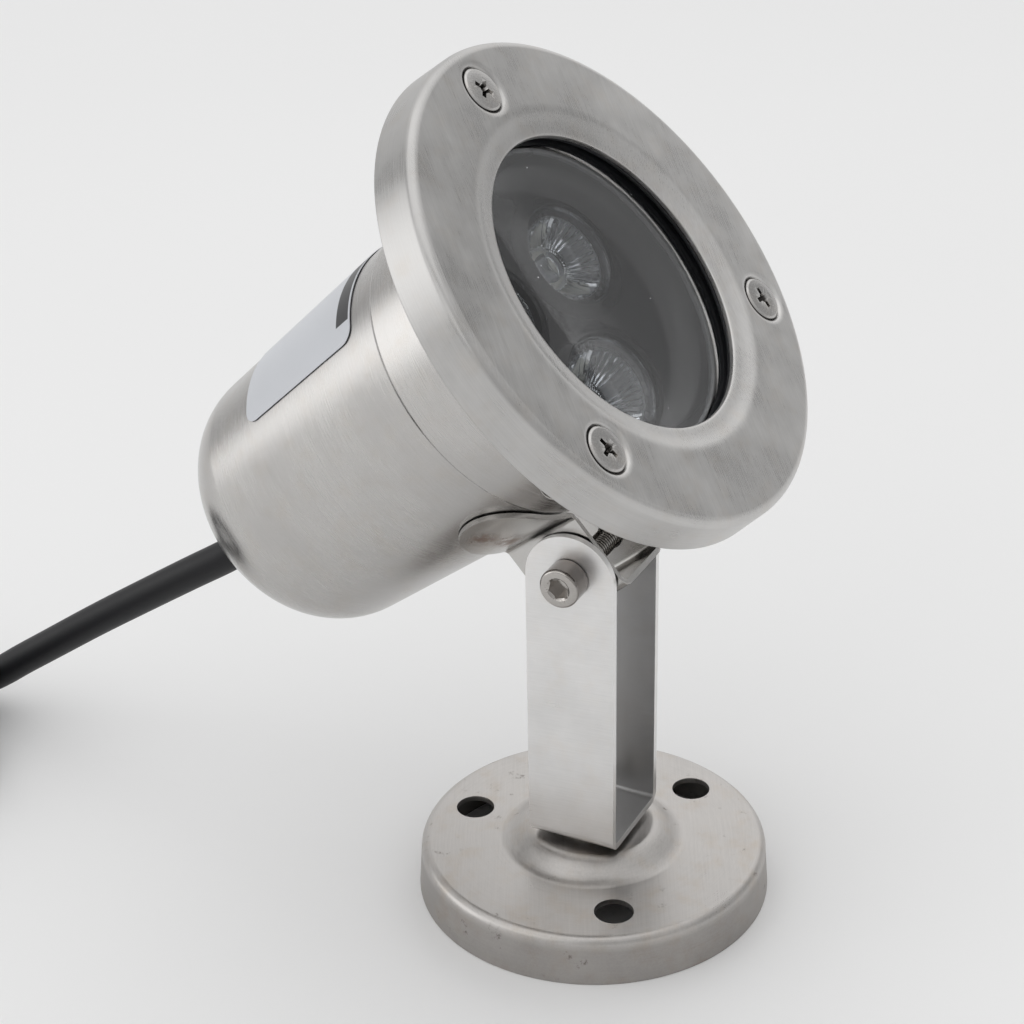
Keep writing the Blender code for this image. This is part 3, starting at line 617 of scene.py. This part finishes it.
ALUMINIUM = steel("turned_aluminium", (0.72, 0.73, 0.74), 0.36, turned(), contrast=0.05)
TIE = dull("tie_black", (0.02, 0.02, 0.02), 0.6, 2500.0, 0.6, 0.6, sheen=0.3)
BROWN = dull("core_brown", (0.16, 0.06, 0.025), 0.4)
BLUE = dull("core_blue", (0.02, 0.09, 0.35), 0.4)
TINNED = steel("tinned_copper", (0.68, 0.62, 0.54), 0.3, straight((1, 0, 0)), contrast=0.15)
GLASS = see_through("window_glass", (0.955, 0.957, 0.96), 1.5, dust=True)
LENS = see_through("clear_lens", (0.96, 0.97, 0.98), 1.49, haze=0.05)
LABEL = label_look()


# ---------------------------------------------------------------- foot

def three(radius, first):
    for k in range(3):
        a = math.radians(first - 120 * k)
        yield radius * math.cos(a), radius * math.sin(a)


def build_foot():
    slope = []
    for i in range(13):
        t = i / 12
        slope.append((20.0 - 7.5 * t, 10.9 + 3.6 * (1 - math.cos(math.pi * t)) / 2))
    outline = [(37.5, 0, 0.25)] + arc((34.9, 8.9), 2.0, 0, 90, 10) + slope
    outline += [(2.75, 14.5, 0.2), (2.75, 13.3, 0.2)] + [(r, z - 1.2) for r, z in reversed(slope)]
    outline += arc((34.9, 8.9), 0.8, 90, 0, 6) + [(36.3, 0, 0.25)]
    foot = lathe("base_plate", outline, STAND, FOOT_STEEL, 200, 1)
    holes = [peg(4.1, -16, -6, STAND @ shift(x, y, 0)) for x, y in three(FOOT_HOLES, 90 + BASE_TURN)]
    own(soften(carve(foot, holes), 0.22), "base", "foot_steel", "base_plate")

    web = 17.3
    head = [(0, web + 3.15, 0.1), (3.2, web + 3.15, 1.0), (4.3, web + 2.2, 0.8), (4.6, web + 0.25, 0.2),
            (0, web + 0.25)]
    screw = lathe("pivot_screw", head, STAND, BRIGHT, 64, 1)
    carve(screw, [peg(3.0 / math.sqrt(3), -web - 4, -web - 1.4, STAND, 6)])
    own(soften(screw, 0.1), "base", "bright_fastener", "pivot_screw")
    own(thread("pivot_thread", M5_RADIUS, M5_PITCH, -web - 1.0, -6.5, STAND, THREAD), "base",
        "bright_fastener")
    for name, inner, outer, low, high in (("spacer_washer", M5_HOLE, 7.5, 14.7, 15.55),
                                          ("under_washer", M5_HOLE, 5.5, 12.0, 13.05)):
        washer = [(inner, low, 0.15), (outer, low, 0.2), (outer, high, 0.2), (inner, high, 0.15)]
        own(lathe(name, washer, STAND, BRIGHT, 96, 1), "base", "bright_fastener", name)
    own(hexagon("pivot_nut", 8.0, -11.8, -7.8, 2.7, STAND, BRIGHT), "base", "bright_fastener",
        "pivot_nut")


# ---------------------------------------------------------------- bracket

def end_stations(half, middle=0.0, steps=28):
    return [middle + half * math.sin(math.radians(-90 + 180 * i / steps)) for i in range(steps + 1)]


def end_drop(w, half, middle=0.0):
    return half - math.sqrt(half ** 2 - min(abs(w - middle), half) ** 2)


def bracket_path(w):
    top = HINGE_Z - 0.6 + 9.7 - end_drop(w, 9.7)
    left = [(-9.75, top, -1, 0), (-9.75, HINGE_Z - 12, -1, 0), (-9.75, 45, -1, 0)]
    for i in range(9):
        a = math.radians(180 + 90 * i / 8)
        left.append((-8.75 + math.cos(a), 18.3 + math.sin(a), math.cos(a), math.sin(a)))
    return left + [(-a, b, -na, nb) for a, b, na, nb in reversed(left)]


def build_bracket():
    bracket = strip("u_bracket", end_stations(9.7), bracket_path, 1.5, lambda x, z, w: (x, w, z),
                    STAND, ARM_STEEL)
    carve(bracket, [peg(M5_HOLE, -30, -5, STAND), peg(M5_HOLE, -30, 30, CROSS)])
    own(soften(bracket, 0.36, 3), "bracket", "bracket_steel", "u_bracket")

    seat = 11.45
    head = [(0, seat + 5), (4.25, seat + 5, 0.75), (4.25, seat, 0.15), (0, seat)]
    bolt = lathe("tilt_bolt", head, CROSS, BOLT, 96)
    countersink = [(0, seat + 4.6), (2.1, seat + 4.6), (2.75, seat + 5.2), (0, seat + 5.2)]
    carve(bolt, [peg(4.0 / math.sqrt(3), seat + 2.4, seat + 7, CROSS, 6, 12),
                 lathe("cutter", countersink, CROSS, None, 64)])
    own(soften(bolt, 0.12), "bracket", "bright_fastener", "tilt_bolt")
    own(thread("tilt_thread", M5_RADIUS, M5_PITCH, -20.15, seat + 0.5, CROSS, THREAD), "bracket",
        "bright_fastener")
    washer = [(2.75, -12.45, 0.15), (5.0, -12.45, 0.25), (5.0, -11.45, 0.25), (2.75, -11.45, 0.15)]
    own(lathe("tilt_washer", washer, CROSS, BRIGHT, 96), "bracket", "bright_fastener", "tilt_washer")
    nut = hexagon("tilt_lock_nut", 8.0, -17.45, -12.65, 2.7, CROSS, BRIGHT)
    own(nut, "bracket", "bright_fastener", "tilt_lock_nut")
    collar = [(2.6, -17.6), (3.3, -17.75, 0.3), (3.5, -17.3, 0.1), (3.2, -16.8), (2.6, -16.8)]
    own(lathe("lock_nut_insert", collar, CROSS, BLUE, 64), "bracket", "bright_fastener")


# ---------------------------------------------------------------- lamp body and front

def wall(s):
    """The body's outer radius, which tapers towards the rear."""
    return WALL_R - WALL_SLOPE * (s - WALL_S)


def build_body():
    lean = math.degrees(math.atan(WALL_SLOPE))
    rear = (wall(90.7 + 17.8 * math.sin(math.radians(lean))) - 17.8 * math.cos(math.radians(lean)), 90.7)
    outline = [(49.5, 9.2, 0.25), (49.5, 10.0, 0.25)] + arc((35.8, 13.0), 3.0, -90, -180, 10)
    outline += [(32.8, 20), (32.8, 28), (32.8, 35.2, 0.5), (32.38, 35.9, 0.5)]
    outline += [(wall(s), s) for s in (46, 56, 66, 76, 84)]
    outline += arc(rear, 17.8, lean, 90, 22) + [(5.1, REAR_S, 0.2), (5.1, REAR_S - 0.8)]
    outline += arc(rear, 17.0, 90, lean, 12) + [(wall(60) - 0.8, 60), (31.6, 35.9), (32.0, 35.3)]
    outline += arc((35.8, 13.0), 3.8, -180, -90, 6)
    body = lathe("body_shell", outline, LAMP, BODY_STEEL, 220)
    holes = [peg(2.8, 7, 12, LAMP @ shift(x, y, 0)) for x, y in three(SCREW_RING, 90)]
    own(soften(carve(body, holes), 0.12), "head", "satin_steel", "body_shell")


def build_bezel():
    t = 1.2
    dish = [(31.5, 1.75), (31.62, 1.45), (32.1, 1.3), (33.0, 1.14), (34.0, 0.92), (34.9, 0.64),
            (35.7, 0.34), (36.4, 0.13), (37.2, 0.02), (38.0, 0.0)]
    outline = dish + [(50.3, 0)] + arc((50.3, 2.0), 2.0, -90, 0, 10)[1:]
    outline += [(52.8, 9.6, 0.3), (51.6, 9.6, 0.3)] + arc((50.3, 2.0), 0.8, 0, -90, 5)
    outline += [(r, s + t) for r, s in reversed(dish[2:])] + [(31.62, 2.6), (31.5, 2.3)]
    bezel = lathe("bezel_ring", outline, LAMP, BEZEL_STEEL, 240)
    cups, sinks = [], []
    for x, y in three(SCREW_RING, 90):
        here = LAMP @ shift(x, y, 0)
        cups.append(lathe("cutter", [(0, 0.6), (6.4, 0.6), (6.0, 1.7), (4.1, 3.5), (0, 3.5)], here,
                          None, 72))
        lip = [(0, -0.6), (6.5, -0.6), (6.5, -0.012), (6.0, 0.03), (5.6, 0.11), (5.3, 0.24), (5.1, 0.42),
               (4.95, 0.7), (2.8, 2.75), (2.8, 5), (0, 5)]
        sinks.append(lathe("cutter", lip, here @ turn(2.1, "Z"), None, 72))
    carve(carve(bezel, cups, "UNION"), sinks)
    own(soften(bezel, 0.06, 1, 40), "head", "satin_steel", "bezel_ring")


def build_bezel_screws():
    for k, (x, y) in enumerate(three(SCREW_RING, 90)):
        here = LAMP @ shift(x, y, 0)
        head = [(0, -0.02), (3.0, 0.0), (4.2, 0.12, 0.4), (4.7, 0.42, 0.15), (4.62, 0.62), (2.5, 2.7),
                (2.5, 3.4), (0, 3.4)]
        screw = lathe(f"bezel_screw_{k + 1}", head, here, SCREW, 72)
        spin = (38, 82, 12)[k]
        blades = [blade(here @ turn(spin + a, "Z")) for a in (0, 90)]
        blades.append(lathe("cutter", [(0, -1), (1.25, -1), (0.95, 1.0), (0, 2.1)], here, None, 24))
        own(soften(carve(screw, blades), 0.07), "head", "bright_fastener", f"bezel_screw_{k + 1}")
        own(thread(f"screw_thread_{k + 1}", M5_RADIUS, M5_PITCH, 3.0, 16.5, here, THREAD), "head",
            "bright_fastener")
        own(hexagon(f"weld_nut_{k + 1}", 8.0, 10.3, 13.8, 2.7, here, BRIGHT, spin=90 - 120 * k),
            "head", "satin_steel", f"weld_nut_{k + 1}")


def blade(place):
    """Tapered cutter for one arm of a cross recess."""
    bm = bmesh.new()
    top, low = [], []
    for x, y in ((-1, -1), (1, -1), (1, 1), (-1, 1)):
        top.append(bm.verts.new((x * 2.55 * MM, y * 0.52 * MM, 0.5 * MM)))
        low.append(bm.verts.new((x * 1.05 * MM, y * 0.36 * MM, -2.0 * MM)))
    bm.faces.new(top)
    bm.faces.new(list(reversed(low)))
    for i in range(4):
        j = (i + 1) % 4
        bm.faces.new((top[j], top[i], low[i], low[j]))
    return from_bmesh("cutter", bm, place, None)


def build_window():
    lip = 32.0
    outline = [(lip, 2.9, 0.3), (38.4, 2.9, 0.5), (38.4, 8.9, 0.5), (lip, 8.9, 0.3), (lip, 8.1, 0.2),
               (36.6, 8.1), (36.6, 3.7), (lip, 3.7, 0.2)]
    own(lathe("window_gasket", outline, LAMP, RUBBER, 200), "head", "black_rubber", "window_gasket")
    outline = [(0, 4.0), (36.3, 4.0, 0.4), (36.3, 7.8, 0.4), (0, 7.8)]
    own(lathe("window_glass", outline, LAMP, GLASS, 200), "head", "window_glass", "window_glass")

    def lumpy(a, r, s):
        lump = 0.16 * math.sin(13 * a) + 0.13 * math.sin(29 * a + 1) + 0.10 * math.sin(61 * a + 2)
        return (r + lump * 0.6, s + lump) if r < 31.9 else (r, s)

    bead = [(31.1, 10.1, 0.3), (31.95, 9.8, 0.1), (31.95, 11.6, 0.1), (31.2, 11.3, 0.4)]
    own(lathe("sealant_bead", bead, LAMP, SEALANT, 400, rough=lumpy), "head", "black_rubber")


# ---------------------------------------------------------------- light engine

def lens_places():
    for x, y in three(LENS_RING, LENS_TURN):
        yield LAMP @ shift(x, y, 0)


def build_resin():
    front, back, rim = RESIN_S, 24.5, 31.7
    climb = [(24.4, front), (25.8, front - 0.12), (27.2, front - 0.5), (28.6, front - 1.2),
             (29.8, front - 2.1), (30.7, front - 3.2), (31.3, front - 4.4), (31.6, 11.8), (rim, 11.6)]
    outline = [(0, front)] + climb + [(rim, back, 0.2), (0, back)]
    resin = lathe("potting_resin", outline, LAMP, RESIN, 200)
    carve(resin, [peg(10.5, 10, back + 2, here, 96) for here in lens_places()])
    own(soften(resin, 0.12), "head", "potting_resin", "potting_resin")
    for k, here in enumerate(lens_places()):
        ring = [(10.45, front - 0.7), (10.7, front - 0.68), (11.2, front - 0.42), (11.9, front - 0.18),
                (12.6, front - 0.05), (13.2, front + 0.01), (13.2, front + 0.15), (10.45, front + 0.15)]
        own(lathe(f"resin_meniscus_{k + 1}", ring, here, RESIN, 96), "head", "potting_resin")
        shelf = [(8.6, front + 1.36), (10.4, front + 1.36), (10.4, front + 1.5), (8.6, front + 1.5)]
        own(lathe(f"resin_shelf_{k + 1}", shelf, here, RESIN, 96), "head", "potting_resin")


def lens_mesh(name, place):
    """Collimating lens with a fluted conical side and a pocket over the LED."""
    front = RESIN_S
    rows = [(0, 1.15, 0), (2.0, 1.1, 0), (4.2, 0.85, 0), (5.4, 0.35, 0), (6.0, 0.12, 0), (9.5, 0.1, 0),
            (9.75, -0.15, 0), (10.15, -0.15, 0), (10.25, 0.05, 0), (10.25, 1.2, 0), (8.5, 1.3, 0),
            (8.3, 1.5, 1), (7.9, 3.0, 1), (7.1, 5.0, 1), (6.0, 7.2, 1), (4.8, 9.1, 1), (3.3, 9.2, 0),
            (3.1, 5.6, 0), (1.8, 5.0, 0), (0, 4.9, 0)]
    count, segments = 36, 216

    def flute(k):
        phase = (k * count / segments) % 1.0
        return 1 - 0.045 * abs(2 * phase - 1)

    bm = bmesh.new()
    rings = []
    for r, s, fluted in rows:
        z = -(front + s) * MM
        if r == 0:
            rings.append([bm.verts.new((0, 0, z))])
            continue
        ring = []
        for k in range(segments):
            a = 2 * math.pi * k / segments
            rr = r * (flute(k) if fluted else 1) * MM
            ring.append(bm.verts.new((rr * math.cos(a), rr * math.sin(a), z)))
        rings.append(ring)
    for a, b in zip(rings, rings[1:]):
        for k in range(segments):
            j = (k + 1) % segments
            corners = [a[k % len(a)], a[j % len(a)], b[j % len(b)], b[k % len(b)]]
            bm.faces.new(list(dict.fromkeys(corners)))
    return from_bmesh(name, bm, place, LENS, 25)


def build_lenses():
    foot = BOARD_S - 0.3
    for k, here in enumerate(lens_places()):
        own(lens_mesh(f"lens_{k + 1}", here @ turn(17 * k, "Z")), "head", "clear_lens", f"lens_{k + 1}")
        low = RESIN_S + 1.55
        holder = [(9.45, low, 0.1), (10.3, low, 0.1), (10.3, foot, 0.2), (6.4, foot),
                  (6.4, foot - 1.1, 0.2), (8.9, foot - 1.9, 0.5)]
        own(lathe(f"lens_holder_{k + 1}", holder, here, HOLDER, 96), "head", "lens_holder",
            f"lens_holder_{k + 1}")
        dome = [(0, foot - 4.9), (0.9, foot - 4.8), (1.7, foot - 4.4), (2.3, foot - 3.6),
                (2.6, foot - 2.5), (2.6, foot - 2.0), (4.0, foot - 1.9, 0.2), (4.0, foot), (0, foot)]
        own(lathe(f"led_{k + 1}", dome, here, PHOSPHOR, 64), "head", "led_phosphor", f"led_{k + 1}")


def build_hidden():
    """Pieces sealed inside keep their CAD shape and take a finish."""
    finish = {"led_board": BOARD, "heat_sink": ALUMINIUM, "board_screw": BRIGHT, "driver_board": BOARD,
              "driver_choke": THREAD, "driver_capacitor": RUBBER, "cable_inner": JACKET,
              "gland_seal": RUBBER, "gland_washer": RUBBER, "gland_lock_nut": BRIGHT}
    for name, mat in finish.items():
        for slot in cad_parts[name].material_slots:
            slot.material = mat


def build_gland():
    s, bore = REAR_S, CABLE_R + 0.3
    body = [(bore, s - 8), (4.8, s - 8, 0.2), (4.8, s + 3), (5.3, s + 3), (5.3, s + 6.5, 0.2),
            (bore, s + 6.5)]
    own(lathe("gland_body", body, LAMP, BRIGHT, 96), "head", "bright_fastener", "gland_body")
    own(hexagon("gland_collar", 13.0, s + 1.5, s + 4.2, 5.32, LAMP, BRIGHT, spin=10), "head",
        "bright_fastener")
    nut = [(5.6, s + 4.5), (6.6, s + 4.5, 0.3), (6.6, s + 7.2)] + arc((4.2, s + 7.2), 2.4, 10, 90, 8)
    nut += [(bore, s + 9.6, 0.3), (bore, s + 8.5), (5.6, s + 8.5)]

    def ribbed(a, r, d):
        return (r - 0.16 * max(0.0, math.cos(18 * a)), d) if r > 6.3 else (r, d)

    own(lathe("gland_nut", nut, LAMP, BRIGHT, 216, rough=ribbed), "head", "bright_fastener",
        "gland_nut")


def build_label():
    bm = bmesh.new()
    grids = ([], [])
    corner, first, last_s, columns = 3.0, LABEL_FRONT, LABEL_BACK, 40
    stations = [first + corner * (1 - math.cos(math.radians(9 * i))) for i in range(11)]
    stations += [50, 56, 62, 68] + [last_s - corner * (1 - math.cos(math.radians(9 * i)))
                                    for i in range(10, -1, -1)]
    for s in stations:
        short = max(corner - (s - first), corner - (last_s - s), 0.0)
        drop = corner - math.sqrt(max(corner ** 2 - short ** 2, 0.0))
        for side, grid in enumerate(grids):
            r = wall(s) + 0.15 + 0.15 * side
            half = math.radians(LABEL_HALF_TURN) - drop / r
            grid.append([bm.verts.new((r * MM * math.sin(half * t / columns),
                                       r * MM * math.cos(half * t / columns), -s * MM))
                         for t in range(-columns, columns + 1)])
    under, over = grids
    rows, end = len(stations) - 1, 2 * columns
    for i in range(rows):
        for j in range(end):
            for grid in grids:
                bm.faces.new((grid[i][j], grid[i + 1][j], grid[i + 1][j + 1], grid[i][j + 1]))
        for j in (0, end):
            bm.faces.new((under[i][j], under[i + 1][j], over[i + 1][j], over[i][j]))
    for j in range(end):
        for i in (0, rows):
            bm.faces.new((under[i][j], under[i][j + 1], over[i][j + 1], over[i][j]))
    own(from_bmesh("rating_label", bm, LAMP, LABEL), "head", "label_film", "rating_label")


def strap_path(w):
    skin, sheet, bend = wall(FACE_Z - w) + 0.3, 1.1, 1.5
    bend_x = 9.3 + bend
    bend_n = AXIS_OFFSET - math.sqrt((skin + sheet + bend) ** 2 - bend_x ** 2)
    meet = 180 + math.degrees(math.atan2(AXIS_OFFSET - bend_n, bend_x))
    tip = 220.0 + math.degrees(end_drop(w, 9.2, -0.8) / skin)
    left = []
    for i in range(13):
        a = math.radians(tip + (meet - tip) * i / 12)
        left.append((skin * math.cos(a), AXIS_OFFSET + skin * math.sin(a), math.cos(a), math.sin(a)))
    for i in range(1, 9):
        a = math.radians((meet - 180) * (1 - i / 8))
        left.append((-bend_x + (bend + sheet) * math.cos(a), bend_n + (bend + sheet) * math.sin(a),
                     -math.cos(a), -math.sin(a)))
    left += [(-8.2, n, -1, 0) for n in (4.0, 0.0)]
    for i in range(9):
        a = math.radians(180 + 90 * i / 8)
        left.append((-6.8 + 1.4 * math.cos(a), -5.5 + 1.4 * math.sin(a), math.cos(a), math.sin(a)))
    return left + [(-a, b, -na, nb) for a, b, na, nb in reversed(left)]


def build_strap():
    strap = strip("yoke_strap", end_stations(9.2, -0.8, 36), strap_path, 1.1,
                  lambda x, n, w: (x, n, w), HEAD, STRAP_STEEL)
    carve(strap, [peg(M5_HOLE, -30, 30, CROSS)])
    own(soften(strap, 0.2), "head", "satin_steel", "yoke_strap")


# ---------------------------------------------------------------- cable

COIL_X, COIL_Y, COIL_MEAN, COIL_LOW = -42.8, 188.0, 39.0, 0.9
CABLE_END, TAIL_R = 100.0, 25.6


def along_axis(s):
    a = math.radians(TILT)
    reach = FACE_Z - s
    return Vector((0, -reach * math.cos(a) + AXIS_OFFSET * math.sin(a),
                   HINGE_Z + reach * math.sin(a) + AXIS_OFFSET * math.cos(a)))


def ease(value, low, high):
    t = min(max((value - low) / (high - low), 0.0), 1.0)
    return t * t * (3 - 2 * t)


def cable_route():
    """Listed points from the gland to the floor, then the coil's turns."""
    points = [along_axis(s) for s in (110.0, 114.0, 118.4, 124.4)]
    points += [Vector((0, y, z)) for y, z in (
        (99.0, 51.8), (112.0, 43.0), (126.0, 33.4), (141.0, 22.7), (149.0, 17.0), (157.0, 11.1),
        (163.0, 7.6), (169.0, 5.7), (176.0, 4.9), (182.0, 4.8))]
    for a in range(0, 1180 + 1, 5):
        r = 42.8 - 7.6 * ease(a, 540, 605) - (35.2 - TAIL_R) * ease(a, 1105, 1180)
        z = 4.8 + 7.5 * ease(a, 250, 310) - 7.5 * ease(a, 880, 945) - 0.8 * ease(a, 1105, 1160)
        t = math.radians(a)
        points.append(Vector((COIL_X + r * math.cos(t), COIL_Y + r * math.sin(t), z)))
    return points


def even_points(points, gap):
    """Points a set distance apart on a smooth curve through the given ones."""
    pts = [points[0] * 2 - points[1]] + points + [points[-1] * 2 - points[-2]]
    dense = []
    for a, b, c, d in zip(pts, pts[1:], pts[2:], pts[3:]):
        for i in range(12):
            t = i / 12
            dense.append(0.5 * (2 * b + (c - a) * t + (2 * a - 5 * b + 4 * c - d) * t * t
                                + (3 * b - a - 3 * c + d) * t ** 3))
    dense.append(points[-1])
    out, run = [dense[0]], 0.0
    for p, q in zip(dense, dense[1:]):
        run += (q - p).length
        if run >= gap:
            out.append(q)
            run = 0.0
    if (out[-1] - dense[-1]).length > 0.3 * gap:
        out.append(dense[-1])
    return out


def tube(name, points, radius, place, mat, sides):
    """Round tube along points, with closed ends."""
    bm = bmesh.new()
    rings = []
    side = Vector((1, 0, 0))
    for i, p in enumerate(points):
        ahead = (points[min(i + 1, len(points) - 1)] - points[max(i - 1, 0)]).normalized()
        side = (side - ahead * side.dot(ahead)).normalized()
        up = ahead.cross(side)
        rings.append([bm.verts.new((p + (side * math.cos(2 * math.pi * k / sides)
                                         + up * math.sin(2 * math.pi * k / sides)) * radius) * MM)
                      for k in range(sides)])
    for a, b in zip(rings, rings[1:]):
        for k in range(sides):
            j = (k + 1) % sides
            bm.faces.new((a[k], a[j], b[j], b[k]))
    bm.faces.new(rings[0])
    bm.faces.new(list(reversed(rings[-1])))
    return from_bmesh(name, bm, place, mat, 50)


def build_cable():
    path = even_points(cable_route(), 2.4)
    cable = tube("cable", path, CABLE_R, STAND, JACKET, 24)
    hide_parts("cable_lead", "cable_coil")
    for name, side, mat, slot in (("core_brown", 1.35, BROWN, "core_brown"),
                                  ("core_blue", -1.35, BLUE, "core_blue")):
        points = []
        for i in range(-1, 7):
            a = math.radians(CABLE_END + 3 + 9 * i)
            r = TAIL_R - side - 0.4 * i
            points.append(Vector((COIL_X + r * math.cos(a), COIL_Y + r * math.sin(a),
                                  3.4 - 0.35 * min(max(i, 0), 5))))
        core = tube(name, even_points(points, 1.2), 1.2, STAND, mat, 16)
        own(core, "bracket", slot, name)
        tip, before = points[-1], points[-2]
        ahead = (tip - before).normalized()
        bare = [tip - ahead * 0.5, tip + ahead * 2.0, tip + ahead * 3.6]
        own(tube(name + "_end", bare, 0.75, STAND, TINNED, 12), "bracket", slot)
    build_tie()
    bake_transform(cable)


def build_tie():
    """Fabric strap tie round the coil, with a rounded section."""
    inner, outer = COIL_MEAN - 2 * CABLE_R - 0.2, COIL_MEAN + 2 * CABLE_R + 0.2
    high = COIL_LOW + 4 * CABLE_R + 0.2
    bm = bmesh.new()
    rims = []
    for pad in (0.3, 0.85):
        low = COIL_LOW - pad
        rims.append(fillet([(inner - pad, low, 2.4), (outer + pad, low, 2.4),
                            (outer + pad, high + pad, 3.0), (inner - pad, high + pad, 3.0)], 5))
    sides = [[[bm.verts.new(((COIL_X + x) * MM, (COIL_Y - r) * MM, z * MM)) for r, z in rim]
              for rim in rims] for x in (-3.5, 3.5)]
    count = len(rims[0])
    for i in range(count):
        j = (i + 1) % count
        for s in (0, 1):
            bm.faces.new((sides[s][0][i], sides[s][0][j], sides[s][1][j], sides[s][1][i]))
            bm.faces.new((sides[0][s][i], sides[0][s][j], sides[1][s][j], sides[1][s][i]))
    return own(soften(from_bmesh("coil_tie", bm, STAND, TIE), 0.15), "bracket", "tie_black", "coil_tie")


# ---------------------------------------------------------------- stage

def build_sky():
    """Soft studio surroundings: a grey room with brighter and darker sides."""
    world = bpy.data.worlds.new("studio")
    bpy.context.scene.world = world
    world.use_nodes = True
    tree = world.node_tree
    back = tree.nodes["Background"]
    way = tree.nodes.new("ShaderNodeTexCoord").outputs["Generated"]
    level = None
    for direction, low, high, amount in SKY:
        dot = tree.nodes.new("ShaderNodeVectorMath")
        dot.operation = "DOT_PRODUCT"
        tree.links.new(way, dot.inputs[0])
        dot.inputs[1].default_value = Vector(direction).normalized()
        lobe = tree.nodes.new("ShaderNodeMapRange")
        lobe.interpolation_type = "SMOOTHERSTEP"
        tree.links.new(dot.outputs["Value"], lobe.inputs["Value"])
        for key, value in (("From Min", low), ("From Max", high), ("To Min", 0.0), ("To Max", amount)):
            lobe.inputs[key].default_value = value
        total = tree.nodes.new("ShaderNodeMath")
        total.operation = "ADD"
        tree.links.new(lobe.outputs[0], total.inputs[0])
        if level:
            tree.links.new(level, total.inputs[1])
        else:
            total.inputs[1].default_value = SKY_BASE
        level = total.outputs[0]
    back.inputs[0].default_value = (1.0, 1.0, 1.0, 1)
    tree.links.new(level, back.inputs["Strength"])


def build_stage():
    bm = bmesh.new()
    bmesh.ops.create_grid(bm, x_segments=2, y_segments=2, size=4.0)
    look = Look("floor")
    broad = look.noise(look.at, 3.0, 2.0)
    look.set(Base_Color=look.blend(broad, (0.86, 0.86, 0.86), (0.885, 0.885, 0.885)), Roughness=0.7)
    from_bmesh("floor", bm, shift(0, 0, -0.02), look.mat)

    bpy.context.scene.view_settings.view_transform = "Standard"
    build_sky()
    for name, place, size, power in LIGHTS:
        light = bpy.data.lights.new(name, "AREA")
        light.shape = "RECTANGLE"
        light.size, light.size_y = size
        light.energy = power
        lamp = bpy.data.objects.new(name, light)
        bpy.context.scene.collection.objects.link(lamp)
        lamp.location = place
        lamp.rotation_euler = (Vector(AIM) - Vector(place)).to_track_quat("-Z", "Y").to_euler()

    camera = bpy.data.cameras.new("camera")
    camera.lens = CAMERA_LENS
    camera.sensor_width = 36.0
    camera.clip_start = 0.02
    view = bpy.data.objects.new("camera", camera)
    bpy.context.scene.collection.objects.link(view)
    right, up = Vector(CAMERA_RIGHT), Vector(CAMERA_UP)
    turned_to = Matrix((right, up, right.cross(up))).transposed().to_4x4()
    view.matrix_world = STAND @ shift(*CAMERA_AT) @ turned_to
    bpy.context.scene.camera = view


build_stage()
build_cable()
build_foot()
build_bracket()
build_body()
build_bezel()
build_bezel_screws()
build_window()
build_resin()
build_lenses()
build_gland()
build_label()
build_strap()
build_hidden()
